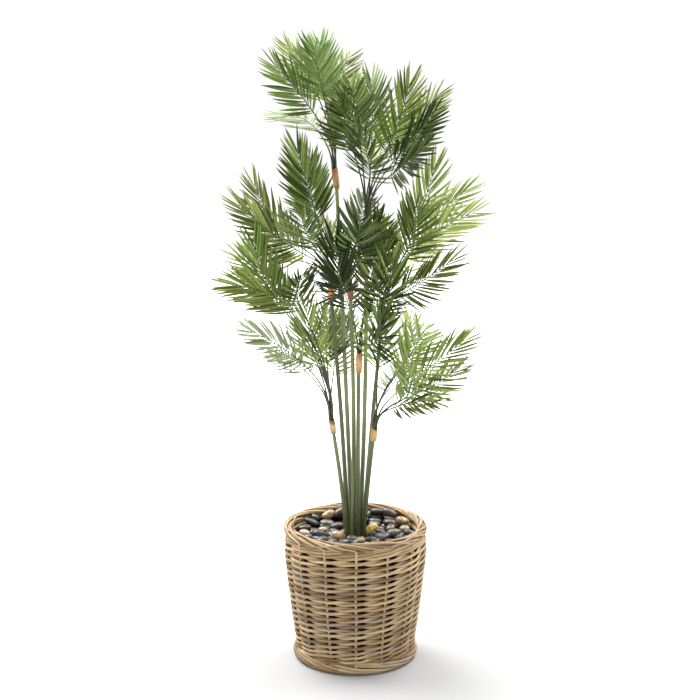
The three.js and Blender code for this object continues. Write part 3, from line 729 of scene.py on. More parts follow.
@dataclass
class Basket:
    """Round basket of twined rattan: stakes, courses, a rolled border and a twisted foot."""

    profile: tuple[tuple[float, float], ...] = (
        (0, 146), (5, 150), (24, 151), (30, 147), (50, 148), (114, 157), (206, 168), (267, 174),
        (300, 172), (320, 168),
    )  # height and outer radius
    lining: tuple[tuple[float, float], ...] = ((14, 134), (114, 144), (206, 155), (306, 157))
    stakes: int = 14
    stake_size: tuple[float, float] = (3.1, 2.2)  # half width and half depth
    stake_depth: float = 6.8  # from the outside in to the middle of a stake
    strand_size: tuple[float, float] = (3.5, 2.4)
    sway: tuple[float, float] = (4.6, 3.7)  # how far a strand weaves in and out, and up and down
    crossing: float = 2.1  # above 1, two strands cross quickly and run level past the stakes
    steps: int = 12  # rings of a strand from stake to stake
    close_courses: tuple[float, ...] = (32.0, 42.5, 53.5, 304.6)
    first_course: float = 67.0
    course_pitch: float = 14.4
    last_course: float = 312.0
    front_stake: float = -89.5  # degrees at which the foremost stake stands
    waves: tuple[int, ...] = (1, 2, 3, 5, 8)  # how often each wave of unevenness comes round
    wave_sum: float = 2.2  # what these waves add up to where they are high
    border_radius: float = 161.0
    border_height: float = 320.0
    border_lay: float = 9.6  # from the middle of the border to the middle of a strand on it
    border_ends: int = 28  # ends bent over into the border, two for each stake
    border_spans: float = 3.3  # stakes that a bent end passes before it goes inside
    bend_roll: tuple[float, float] = (-40.0, 190.0)  # degrees round the border, from outside to in
    bend_widths: tuple[float, float] = (2.3, 2.8)  # half width of a bent end, first and last
    bend_depth: float = 2.4
    upright: tuple[float, float, float] = (170.2, 284.0, 312.0)  # radius, and heights it rises between
    upright_width: float = 3.0
    border_ropes: tuple[Rope, ...] = (
        Rope(161.0, 320.0, 3.0, 4, 5, (4.0, 2.8)),
        Rope(161.0, 320.0, 9.6, 2, -3, (2.6, 2.1)),
        Rope(152.5, 304.0, 2.8, 2, 6, (3.4, 2.4)),
    )
    foot_ropes: tuple[Rope, ...] = (
        Rope(139.0, 13.6, 9.3, 7, 2.0, (3.9, 3.6)),
        Rope(141.5, 25.0, 3.0, 2, 5, (3.8, 2.6)),
    )
    rope_rings: int = 288
    rope_spans: int = 24  # spans of a rope's strand that can differ in tone
    stake_reach: tuple[float, float] = (8.0, 316.0)  # heights between which a stake shows
    liner_top: float = 299.0
    liner_gap: float = 1.6  # between the solid's lining and the liner
    liner_wall: float = 1.4
    coils: tuple[float, float, float] = (18.0, 132.0, 9.5)  # radii and pitch of the base's coil
    coil_height: float = 7.5
    coil_sway: float = 3.2
    coil_size: tuple[float, float] = (4.4, 2.0)
    spoke_reach: tuple[float, float] = (4.0, 140.0)
    spoke_size: tuple[float, float] = (3.0, 2.0)
    draw: random.Random = field(default_factory=lambda: random.Random(11))

    def outer(self, height: Any) -> Any:
        """Outer radius at one or more heights."""
        return along(self.profile, height)

    def courses(self) -> list[float]:
        """Lay out the courses of twined strands.

        Returns:
            Height of every course.
        """
        count = round((self.last_course - self.first_course) / self.course_pitch)
        rest = [self.first_course + i * self.course_pitch for i in range(count + 1)]
        return [*self.close_courses, *rest]

    def wander(self, turn: Array, reach: float) -> Array:
        """Draw slow uneven waves round the basket.

        Args:
            turn: Places round the basket, in radians.
            reach: About how high the waves are.

        Returns:
            Height of the waves at each place.
        """
        waves = [(self.draw.uniform(0, 6.28), k) for k in self.waves]
        height = sum(np.sin(k * turn + phase) / (k**0.5) for phase, k in waves)
        return reach * height / self.wave_sum

    def twine(self, draft: Draft, height: float) -> None:
        """Add the two strands of one course, which swap places between the stakes.

        Args:
            draft: Mesh that the strands go into.
            height: Height of the course.
        """
        count = self.stakes * self.steps
        turn = np.linspace(0, 2 * math.pi, count, endpoint=False)
        first = math.radians(self.front_stake)
        level = height + self.wander(turn, 0.9)
        outward = circle(turn + first)
        in_out, up_down = self.sway
        wide, deep = self.strand_size
        for strand in (0, 1):
            phase = turn * self.stakes / 2 + strand * math.pi
            radius = self.outer(height) - self.stake_depth + in_out * np.cos(phase)
            swell = 1 + self.wander(turn, 0.07)
            swing = np.sign(np.sin(phase)) * np.abs(np.sin(phase)) ** self.crossing
            path = outward * radius[:, None] + UP * (level + up_down * swing)[:, None]
            tangent = ring_tangents(path)
            facing = square_to(outward, tangent)
            across = np.cross(facing, tangent)
            rings = oval_rings(path, across, facing, wide * swell, deep, 8)
            lengths = turn * self.outer(height) + self.draw.uniform(0, 5000)
            # A strand ends, and the next one starts, where it passes behind a stake
            tones = np.repeat(runs(self.stakes // 2, len(RATTANS), 2, 7, self.draw), self.steps * 2)
            tones = np.roll(tones, 0 if strand else self.steps)
            draft.skin(rings, lengths, 2 * math.pi * wide, tones, closed=True)

    def wind(self, draft: Draft, rope: Rope) -> None:
        """Add the strands of a rope.

        Args:
            draft: Mesh that the strands go into.
            rope: The rope.
        """
        turn = np.linspace(0, 2 * math.pi, self.rope_rings, endpoint=False)
        out = circle(turn)
        wide, deep = rope.size
        for strand in range(rope.strands):
            start = 2 * math.pi * strand / rope.strands
            roll = -rope.turns * turn + start + self.wander(turn, 0.16)
            facing = out * np.cos(roll)[:, None] + UP * np.sin(roll)[:, None]
            lay = rope.lay + self.wander(turn, 0.5)
            path = out * rope.radius + UP * rope.height + facing * lay[:, None]
            tangent = ring_tangents(path)
            facing = square_to(facing, tangent)
            widths = wide * (1 + self.wander(turn, 0.1))
            rings = oval_rings(path, np.cross(facing, tangent), facing, widths, deep, 8)
            tones = runs(self.rope_spans, len(RATTANS), 3, 8, self.draw)
            tones = np.repeat(tones, self.rope_rings // self.rope_spans)
            lengths = turn * rope.radius + self.draw.uniform(0, 5000)
            draft.skin(rings, lengths, 2 * math.pi * wide, tones, closed=True)

    def build_wall(self) -> None:
        """Twine the wall round its stakes, with the liner behind and the twisted foot below."""
        draft = Draft()
        for height in self.courses():
            self.twine(draft, height)
        for i in range(self.stakes):
            heights = np.linspace(*self.stake_reach, 24)
            angle = math.radians(self.front_stake + 360 * i / self.stakes)
            swing = angle + self.wander(heights / 90, 0.012)
            out = circle(swing)
            path = out * (self.outer(heights) - self.stake_depth)[:, None] + UP * heights[:, None]
            across = np.stack([-np.sin(swing), np.cos(swing), 0 * swing], 1)
            rings = oval_rings(path, across, out, *self.stake_size, 8)[::-1]
            draft.skin(rings, heights + self.draw.uniform(0, 900), 17, self.draw.choice((0, 0, 0, 3)))
        for rope in self.foot_ropes:
            self.wind(draft, rope)
        wall = draft.piece("basket_weave", RATTANS, 50)
        hand_over(wall, ["basket"])

    def build_liner(self) -> None:
        """Line the wall with a thin plastic shell, and close the basket below."""
        low, high = self.lining[0][0], self.liner_top
        heights = np.array([high, self.lining[2][0], self.lining[1][0], low, low])
        radii = np.array([*along(self.lining, heights[:-1]) + self.liner_gap, 0.5])
        turn = np.linspace(0, 2 * math.pi, self.stakes * 6, endpoint=False)
        shells = []
        for thick in (0.0, self.liner_wall):
            ring = circle(turn)
            shell = ring[None] * np.maximum(radii - thick, 0.5)[:, None, None]
            shells.append(shell + UP * (heights + thick * (heights < high))[:, None, None])
        rings = np.concatenate([shells[0][::-1], shells[1]])
        draft = Draft()
        draft.skin(rings[::-1], np.linspace(0, 900, len(rings)), 900, closed=False)
        # Painted shade: the near-black liner stands for the shade inside the basket
        liner = draft.piece("basket_liner", [SHADE_DARK_LINER])
        hand_over(liner, ["basket"])

    def build_base(self) -> None:
        """Weave the flat base: radial stakes with a coil of strands over and under them."""
        draft = Draft()
        count = self.stakes * 8
        turn = np.linspace(0, 2 * math.pi, count, endpoint=False)
        out = circle(turn)
        for i, radius in enumerate(np.arange(*self.coils)):
            phase = turn * self.stakes / 2 + i * math.pi
            path = out * radius + UP * (self.coil_height + self.coil_sway * np.cos(phase))[:, None]
            tangent = ring_tangents(path)
            facing = square_to(np.broadcast_to(-UP, path.shape), tangent)
            rings = oval_rings(path, np.cross(facing, tangent), facing, *self.coil_size, 6)
            tones = np.repeat(runs(self.stakes, len(RATTANS), 1, 4, self.draw), 8)
            draft.skin(rings, turn * radius, 28, tones, closed=True)
        for i in range(self.stakes):
            angle = math.radians(self.front_stake + 360 * (i + 0.5) / self.stakes)
            reach = np.linspace(*self.spoke_reach, 6)
            path = direction(math.degrees(angle), 0) * reach[:, None] + UP * self.coil_height
            side = np.broadcast_to(direction(math.degrees(angle) + 90, 0), path.shape)
            rings = oval_rings(path, side, np.broadcast_to(UP, path.shape), *self.spoke_size, 6)
            draft.skin(rings, reach, 16, 1)
        base = draft.piece("basket_base", RATTANS, 50)
        hand_over(base, ["basket"])

    def bend_over(self, draft: Draft, angle: float, rise: int) -> None:
        """Bend one stake into the border: up the outside, then left and over to the inside.

        Args:
            draft: Mesh that the stake's end goes into.
            angle: Where the stake stands, in radians.
            rise: Rings of the upright part, or 0 where it stays inside the wall.
        """
        sweep = 60  # rings of the bent part
        outside, low, high = self.upright
        roll = np.radians(np.linspace(*self.bend_roll, sweep))
        lay = self.border_lay + self.draw.uniform(-1.5, 1.2) + self.wander(np.linspace(0, 3, sweep), 0.9)
        run = self.border_spans * 2 * math.pi / self.stakes * self.draw.uniform(0.75, 1.2)
        swing = angle - np.append(np.zeros(rise), run * np.linspace(0.0, 1, sweep) ** 1.15)
        radius = np.append(np.full(rise, outside), self.border_radius + lay * np.cos(roll))
        height = np.append(np.linspace(low, high, rise), self.border_height + lay * np.sin(roll))
        radius = radius + self.wander(np.linspace(0, 4, rise + sweep), 0.5)
        out = circle(swing)
        path = out * radius[:, None] + UP * height[:, None]
        for _ in range(2):
            path[1:-1] = (path[:-2] + path[1:-1] * 2 + path[2:]) / 4
        tangent = unit(np.gradient(path, axis=0))
        centre = out * self.border_radius + UP * self.border_height
        facing = np.where((np.arange(len(path)) < rise)[:, None], out, unit(path - centre))
        facing = square_to(facing, tangent)
        widths = np.append(np.full(rise, self.upright_width), np.linspace(*self.bend_widths, sweep))
        widths = widths * self.draw.uniform(0.85, 1.15)
        rings = oval_rings(path, np.cross(facing, tangent), facing, widths, self.bend_depth, 8)
        length = self.border_radius * run
        start = self.draw.uniform(0, 3000)
        tone = self.draw.randrange(len(RATTANS))
        draft.skin(rings, start + np.linspace(0, length, len(path)), 26, tone)

    def build_border(self) -> None:
        """Roll the border over the mouth: every stake's end bent over a core of strands."""
        draft = Draft()
        for rope in self.border_ropes:
            self.wind(draft, rope)
        for i in range(self.border_ends):
            angle = math.radians(self.front_stake + 360 * i / self.border_ends)
            self.bend_over(draft, angle, 0 if i % 2 else 8)
        border = draft.piece("basket_border", RATTANS, 50)
        hand_over(border, ["basket_rim"])

    def build(self) -> None:
        """Build every piece of the basket."""
        self.build_wall()
        self.build_liner()
        self.build_base()
        self.build_border()


# The pebbles


@dataclass(frozen=True)
class Pebble:
    """One river pebble: its kind, place, size and how it lies."""

    kind: Stone
    place: tuple[float, float, float]
    size: tuple[float, float, float]  # length, width and height
    turn: float = 0.0  # degrees, as are tilt and roll
    tilt: float = 0.0
    roll: float = 0.0
    bluntness: float = 0.9  # below 1, the ball is pressed towards a rounded block
    lumps: int = 5
    lump: float = 0.09  # height of a lump, as a share of the pebble's size
    bean: float = 0.16  # how far it may bend like a bean, as a share of its length

    def skin(self, ball: Array, draw: random.Random) -> Array:
        """Press a ball of points into the pebble's uneven, water-worn shape.

        Args:
            ball: Points on a ball of radius 1.
            draw: Source of the repeatable choices.

        Returns:
            The pebble's points, in their place.
        """
        blunt = np.sign(ball) * np.abs(ball) ** self.bluntness
        swell = np.ones(len(ball))
        for _ in range(self.lumps):
            way = unit(np.array([draw.gauss(0, 1) for _ in range(3)]))
            wave = np.sin(draw.uniform(1.2, 3.0) * ball @ way + draw.uniform(0, 6))
            swell += draw.uniform(-self.lump, self.lump) * wave
        shape = blunt * swell[:, None] * np.array(self.size) / 2
        shape[:, 0] += self.bean * draw.uniform(-1, 1) * self.size[0] * (ball[:, 1] ** 2 - 0.4)
        for axis, angle in ((0, self.roll), (1, self.tilt), (2, self.turn)):
            c, s = math.cos(math.radians(angle)), math.sin(math.radians(angle))
            a, b = ((1, 2), (2, 0), (0, 1))[axis]
            first, second = shape[:, a] * c - shape[:, b] * s, shape[:, a] * s + shape[:, b] * c
            shape[:, a], shape[:, b] = first, second
        return shape + np.array(self.place)


def ball_of(levels: int) -> tuple[Array, Array]:
    """Points and triangles of a ball, from an icosahedron split again and again.

    Args:
        levels: How often each triangle is split in four.

    Returns:
        The points at radius 1, and the triangles between them.
    """
    gold = (1 + 5**0.5) / 2
    points = [(a, b * gold, 0) for b in (1, -1) for a in (-1, 1)]
    points += [(0, a, b * gold) for b in (1, -1) for a in (-1, 1)]
    points += [(b * gold, 0, a) for b in (1, -1) for a in (-1, 1)]
    corners = [unit(np.array(p, float)) for p in points]
    near = min(np.linalg.norm(corners[0] - c) for c in corners[1:]) * 1.01
    faces = []
    for i in range(12):
        for j in range(i + 1, 12):
            for k in range(j + 1, 12):
                sides = (corners[i] - corners[j], corners[j] - corners[k], corners[k] - corners[i])
                if all(np.linalg.norm(side) < near for side in sides):
                    normal = np.cross(corners[j] - corners[i], corners[k] - corners[i])
                    faces.append((i, j, k) if normal @ corners[i] > 0 else (i, k, j))
    for _ in range(levels):
        middles: dict[tuple[int, int], int] = {}

        def middle(a: int, b: int) -> int:
            """Find or make the point half way along an edge.

            Args:
                a: Number of the point at one end.
                b: Number of the point at the other.

            Returns:
                Number of the point between them.
            """
            key = (min(a, b), max(a, b))
            if key not in middles:
                middles[key] = len(corners)
                corners.append(unit(corners[a] + corners[b]))
            return middles[key]

        split = []
        for a, b, c in faces:
            ab, bc, ca = middle(a, b), middle(b, c), middle(c, a)
            split += [(a, ab, ca), (ab, b, bc), (ca, bc, c), (ab, bc, ca)]
        faces = split
    return np.array(corners), np.array(faces)


@dataclass
class PebbleBed:
    """Layer of river pebbles round the rods, heaped a little towards the back."""

    # The pebbles that the photograph shows
    seen: tuple[Pebble, ...] = (
        Pebble(Stone.BROWN, (-123, 30, 308), (35, 26, 18), 10, -8),
        Pebble(Stone.BLACK, (-107, 70, 311), (36, 25, 15), -10, 24),
        Pebble(Stone.TAN, (-66, 106, 319), (34, 26, 20), 20, -14),
        Pebble(Stone.MAUVE, (-40, 107, 322), (40, 27, 22), 10, -22),
        Pebble(Stone.GREY, (-70, 80, 304), (38, 27, 17), 0, 5),
        Pebble(Stone.BROWN, (-47, 48, 305), (38, 27, 22), 6, -8),
        Pebble(Stone.SLATE, (-90, -12, 305), (39, 26, 27), -8, 22),
        Pebble(Stone.BEIGE, (-47, -27, 305), (38, 26, 25), 0, 6),
        Pebble(Stone.PALE, (-121, 2, 303), (30, 26, 19), 0, 0),
        Pebble(Stone.TAN, (-79, 27, 304), (24, 18, 13), 0, 5),
        Pebble(Stone.GREY, (-8, -38, 303), (29, 22, 18), 0, 4),
        Pebble(Stone.PALE, (14, -52, 303), (22, 18, 14), 15, 5),
        Pebble(Stone.YELLOW, (39, 0, 313), (40, 24, 26), 6, -46),
        Pebble(Stone.SLATE, (40, -24, 305), (17, 16, 24), -30, 24),
        Pebble(Stone.BLACK, (34, -49, 304), (32, 22, 15), 0, 0),
        Pebble(Stone.SLATE, (51, 89, 306), (33, 24, 15), -6, 5),
        Pebble(Stone.BLACK, (58, 112, 311), (33, 24, 15), 4, -5),
        Pebble(Stone.BROWN, (56, 114, 323), (36, 24, 18), -14, 4),
        Pebble(Stone.MAUVE, (88, 95, 324), (40, 27, 20), -20, 12),
        Pebble(Stone.GREY, (88, 92, 313), (30, 22, 14), 0, 8),
        Pebble(Stone.OLIVE, (90, 64, 306), (44, 30, 23), -18, 14),
        Pebble(Stone.TAN, (116, 57, 316), (30, 23, 18), -30, 12),
        Pebble(Stone.PALE, (121, 25, 305), (27, 22, 18), 0, 0),
        Pebble(Stone.OLIVE, (124, 41, 306), (24, 18, 12), 0, 0),
        Pebble(Stone.GREY, (91, -4, 305), (37, 26, 22), 8, -6),
        Pebble(Stone.BROWN, (60, 10, 304), (34, 24, 17), -12, 10),
        Pebble(Stone.GREY, (35, 126, 312), (18, 22, 20), 0, 60),
        Pebble(Stone.BROWN, (-37, 122, 309), (26, 24, 18), 0, 0),
    )
    usual_size: tuple[float, float, float] = (34.0, 25.0, 18.0)
    lower_count: int = 58
    seed_turn: float = 2.39996  # radians from one to the next, the golden angle
    core_count: int = 7  # small ones among the rods, of which the first lies in the middle
    core_reach: tuple[float, float] = (9.0, 33.0)
    core_height: float = 293.0
    core_turn: float = 0.9  # radians from one to the next
    core_scale: float = 0.55
    inner: float = 34.0
    outer: float = 136.0
    rim_heap: float = 5.0  # how much higher the pebbles lie at the wall
    lower_height: tuple[float, float] = (292.0, 298.0)
    upper_height: tuple[float, float] = (302.0, 309.0)  # of the upper layer, front and back
    fill_radius: float = 15.0  # least distance between a filled-in pebble and any other, halved
    fill_tries: int = 900
    rod_room: float = 44.0  # radius round the rods that stays free of filled-in pebbles
    map_scale: float = 15.0  # millimetres on the UV map for half a pebble's length
    bed_top: float = 287.0
    bed_rough: tuple[float, float] = (-2.5, 1.5)  # how far the bedding lies below and above that
    bed_low: float = 282.5
    bed_radius: float = 156.0
    draw: random.Random = field(default_factory=lambda: random.Random(23))

    def lower(self) -> Iterator[Pebble]:
        """Lay the lower layer, on rings that grow outwards like seeds in a head.

        Yields:
            Each pebble.
        """
        for i in range(self.lower_count):
            reach = math.sqrt(lerp(self.inner**2, self.outer**2, (i + 0.5) / self.lower_count))
            angle = i * self.seed_turn
            height = self.draw.uniform(*self.lower_height)
            place = (reach * math.cos(angle), reach * math.sin(angle), height)
            yield self.any_pebble(place, self.draw.uniform(0.95, 1.15))
        for i in range(self.core_count):
            angle = i * self.core_turn
            reach = self.core_reach[min(i, 1)]
            place = (reach * math.cos(angle), reach * math.sin(angle), self.core_height)
            yield self.any_pebble(place, self.core_scale)

    def any_pebble(self, place: tuple[float, float, float], scale: float) -> Pebble:
        """Draw a pebble's kind and how it lies.

        Args:
            place: Its middle.
            scale: Its size as a share of the usual one.

        Returns:
            The pebble.
        """
        dark = [Stone.BLACK, Stone.BROWN, Stone.MAUVE, Stone.SLATE, Stone.OLIVE]
        kind = self.draw.choice([*dark, *dark, Stone.GREY, Stone.TAN])
        length, width, height = (side * scale for side in self.usual_size)
        turn, tilt, roll = (self.draw.uniform(*reach) for reach in ((0, 360), (-16, 16), (-12, 12)))
        return Pebble(kind, place, (length, width, height), turn, tilt, roll)

    def upper(self) -> Iterator[Pebble]:
        """Lay the pebbles that the photograph shows, and others in the room that they leave.

        Yields:
            Each pebble.
        """
        taken = []
        for pebble in self.seen:
            (x, y, _), (length, width, _) = pebble.place, pebble.size
            taken.append((x, y, (length + width) / 4))
            yield pebble
        for _ in range(self.fill_tries):
            share, angle = math.sqrt(self.draw.random()), self.draw.uniform(0, 6.2832)
            reach = (self.outer + 5) * share
            x, y = reach * math.cos(angle), reach * math.sin(angle)
            room = self.fill_radius - 1
            if reach < self.rod_room or any(math.hypot(x - a, y - b) < r + room for a, b, r in taken):
                continue
            taken.append((x, y, self.fill_radius))
            height = lerp(*self.upper_height, (y + self.outer) / (2 * self.outer))
            height += self.rim_heap * share**6
            yield self.any_pebble((x, y, height), self.draw.uniform(0.9, 1.1))

    def build(self) -> None:
        """Build the two layers of pebbles and the bedding below them."""
        kinds = list(Stone)
        finishes = [STONES[kind] for kind in kinds]
        layers = (("pebbles_lower", self.lower(), 2), ("pebbles_upper", self.upper(), 3))
        for name, pebbles, levels in layers:
            points, faces = ball_of(levels)
            draft = Draft()
            for pebble in pebbles:
                places = points[faces][:, :, :2] * self.map_scale + UV_UNIT / 2
                draft.add(pebble.skin(points, self.draw), faces, places, kinds.index(pebble.kind))
            hand_over(draft.piece(name, finishes, 80), ["pebbles"])
        self.build_bedding()

    def build_bedding(self) -> None:
        """Fill the gaps under the pebbles with a layer of dark set foam, slightly uneven."""
        draft = Draft()
        radii = np.linspace(self.bed_radius, 2, 14)
        turn = np.linspace(0, 2 * math.pi, 64, endpoint=False)
        ring = circle(turn)
        rough = np.array([[self.draw.uniform(*self.bed_rough) for _ in turn] for _ in radii])
        top = ring[None] * radii[:, None, None] + UP * (self.bed_top + rough)[:, :, None]
        under = ring[None] * np.array([2.0, self.bed_radius])[:, None, None] + UP * self.bed_low
        draft.skin(np.concatenate([under, top]), np.linspace(0, 300, 16), 900)
        hand_over(draft.piece("pebble_bedding", [BEDDING]), ["pebbles"])


# Rods and husks


@dataclass(frozen=True)
class Rod:
    """One rod with the husk at its tip."""

    letter: str
    at: float  # degrees on the ring where the rods enter the pebbles
    base: tuple[float, float, float]  # middle of the husk's lower end
    top: tuple[float, float, float]
    bow: float  # how far the middle of the rod bows to the right
    husk: tuple[str, str, str]  # colours of the husk's foot, middle and torn edge
    covers: tuple[float, float]  # part of the solid husk's length that the sheath covers
    fold_at: float = 250.0  # degrees at which the husk's outer edge lies
    slant: float = 60.0  # degrees at which the husk's upper edge is highest
    curl: float = 0.0  # radius of a curled flap beside the husk, or 0
    foot_height: float = 240.0
    ring_radius: float = 20.5
    filler_top: float = 282.0
    radii: tuple[float, float] = (5.7, 4.2)  # of the rod, at its foot and at its tip
    rib_depths: tuple[float, float] = (0.035, 0.02)  # of ten ribs and of three, by radius
    sheath: tuple[tuple[float, float], ...] = (
        (0, 5.5), (0.1, 6.4), (0.4, 7.4), (0.8, 7.0), (1, 6.7),
    )  # share of the husk's length and inner radius
    sheath_turn: float = 460.0  # degrees that the sheath goes round: one turn and a lap
    sheath_lap: float = 1.1  # how much further out it ends than it starts
    sheath_wall: float = 0.7
    edge_slant: float = 9.0  # how much higher its upper edge is on one side
    edge_drop: float = 5.0  # how far the other side lies below the husk's end
    corner_drop: float = 5.0  # how far the outer corner of the lap is worn down
    tear: float = 1.2  # how far the torn edge strays
    curl_turn: tuple[float, float] = (-1.7, 4.4)  # radians that the flap curls through
    curl_close: tuple[float, float] = (1.0, 0.45)  # share of its radius, first and last
    curl_widths: tuple[float, float] = (5.0, 3.0)  # its half width, first and last

    def line(self) -> tuple[Array, Array, Array]:
        """Lay out the rod's middle line.

        Returns:
            Its start, its control point and its end.
        """
        foot = direction(self.at, 0) * self.ring_radius + UP * self.filler_top
        end = np.array(self.base, float)
        slope = (end - foot) / (end[2] - foot[2])
        foot = foot + slope * (self.foot_height - foot[2])
        return foot, lerp(foot, end, 0.5) + np.array([2 * self.bow, 0, 0]), end

    def husk_length(self) -> float:
        """Length of the sheath."""
        low, high = self.covers
        return float(np.linalg.norm(np.subtract(self.top, self.base))) * (high - low)

    def add_rod(self, draft: Draft, tone: int, draw: random.Random) -> None:
        """Add the rod, with the fine ribs of its tool, up into its husk.

        Args:
            draft: Mesh that the rod goes into.
            tone: Material number of this rod.
            draw: Source of the repeatable choices.
        """
        shares = np.linspace(0, 1.02, 44)
        path, tangents = bezier(self.line(), shares)
        east = square_to(np.broadcast_to(np.array([1.0, 0, 0]), path.shape), tangents)
        north = np.cross(tangents, east)
        turn = np.linspace(0, 2 * math.pi, 30, endpoint=False)
        fine, broad = self.rib_depths
        ribs = 1 + fine * np.cos(10 * turn) + broad * np.cos(3 * turn + draw.uniform(0, 6))
        waves = (1 + 0.012 * np.sin(shares * 37))[:, None]
        radius = lerp(*self.radii, shares)[:, None] * ribs[None] * waves
        rings = (path[:, None] + east[:, None] * (radius * np.cos(turn))[:, :, None]
                 + north[:, None] * (radius * np.sin(turn))[:, :, None])
        length = np.linalg.norm(path[-1] - path[0])
        draft.skin(rings, shares * length + draw.uniform(0, 3000), 36, tone)

    def add_husk(self, draft: Draft, tone: int, draw: random.Random) -> None:
        """Wrap the sheath round the rod's tip: one turn and a lap, with a slanted torn edge.

        Args:
            draft: Mesh that the sheath goes into.
            tone: Material number of this husk.
            draw: Source of the repeatable choices.
        """
        ends = np.array(self.base, float), np.array(self.top, float)
        low, high = (lerp(*ends, share) for share in self.covers)
        length = self.husk_length()
        turns = np.radians(np.linspace(0, self.sheath_turn, 40)) + math.radians(self.fold_at)
        lap = np.linspace(0, 1, 40)
        slant = 0.5 + 0.5 * np.cos(turns - math.radians(self.slant))
        torn = np.array([draw.uniform(-self.tear, self.tear) for _ in turns])
        over = self.edge_slant * slant - self.edge_drop + torn - self.corner_drop * lap**6
        edge = 1.0 + over / length
        shares = np.linspace(0, 1, 12)
        swell = along(self.sheath, shares)
        sheets = []
        for thick in (0.0, self.sheath_wall):
            radius = swell[:, None] + self.sheath_lap * lap[None] - thick
            rise = shares[:, None] * edge[None]
            flat = np.stack([radius * np.cos(turns), radius * np.sin(turns), 0 * radius], 2)
            sheets.append(low + rise[:, :, None] * (high - low) + flat)
        closed = np.concatenate([sheets[0], sheets[1][:, ::-1]], 1)
        draft.skin(closed, shares * length, 110, tone)
        if self.curl:
            self.add_curl(draft, tone, low, high)

    def add_curl(self, draft: Draft, tone: int, low: Array, high: Array) -> None:
        """Add the torn flap that curls out beside the husk.

        Args:
            draft: Mesh that the flap goes into.
            tone: Material number of the husk.
            low: Middle of the husk's lower end.
            high: Middle of its upper end.
        """
        count = 26
        turn = np.linspace(*self.curl_turn, count)
        radius = self.curl * np.linspace(*self.curl_close, count)
        centre = lerp(low, high, 0.66) + np.array([7.0 + self.curl * 0.7, -2.0, 0.0])
        path = centre + np.stack([radius * -np.cos(turn), 0 * turn, radius * np.sin(turn)], 1)
        tangents = unit(np.gradient(path, axis=0))
        side = np.broadcast_to(FRONT, path.shape)
        widths = np.linspace(*self.curl_widths, count)
        rings = oval_rings(path, side, np.cross(tangents, side), widths, 0.9, 8)
        draft.skin(rings, np.linspace(0, 30, count), 12, tone)


RODS = (
    Rod("E", 200, (-52, -22, 559), (-58, -22, 603), 3, ("7d664c", "dcc49a", "8a6a44"),
        (0, 0.8), 230, 120),
    Rod("C", 155, (-57, 28, 866), (-58, 28, 904), 5, ("b08458", "d09a64", "b07040"),
        (0, 1.0), 200, 200, 4.6),
    Rod("A", 110, (-44, 58, 1130), (-50, 58, 1179), 1, ("a8824e", "cca468", "a87444"),
        (0.02, 1.0), 300, 20),
    Rod("H", 245, (-12, -30, 882), (-14, -30, 918), 6, ("8a6c44", "a87c50", "845c38"),
        (0, 1.0), 280, 90),
    Rod("D", 290, (7, -52, 709), (9, -52, 766), -1, ("a48548", "dcb080", "c07844"),
        (0.04, 0.94), 260, 70),
    Rod("B", 65, (25, 34, 1017), (28, 34, 1071), 6, ("a07c48", "c09060", "a86c44"),
        (0, 1.0), 310, 110),
    Rod("G", 20, (60, 14, 794), (65, 14, 835), -3, ("a08050", "bc9064", "a0683c"),
        (0.0, 1.0), 240, 60),
    Rod("F", 335, (41, -34, 538), (46, -34, 577), -2, ("c48c5c", "d9b878", "cfae78"),
        (0.12, 0.9), 250, 150),
)


@dataclass
class Stems:
    """The eight rods and the husks at their tips."""

    draw: random.Random = field(default_factory=lambda: random.Random(31))

    def build(self) -> None:
        """Build the rods as one piece and the husks as another."""
        rods, husks = Draft(), Draft()
        for i, rod in enumerate(RODS):
            rod.add_rod(rods, i % len(ROD_PLASTICS), self.draw)
            rod.add_husk(husks, i, self.draw)
        names = [rod.letter for rod in RODS]
        hand_over(rods.piece("rods", ROD_PLASTICS, 60), [f"rod_{name}" for name in names])
        finishes = []
        for rod in RODS:
            foot, middle, edge = rod.husk
            name = f"pressed_husk_{rod.letter}"
            finishes.append(Husk(name, middle, 0.66, 1.47, foot, edge, rod.husk_length()))
        hand_over(husks.piece("husks", finishes, 45), [f"husk_{name}" for name in names])


# The fronds


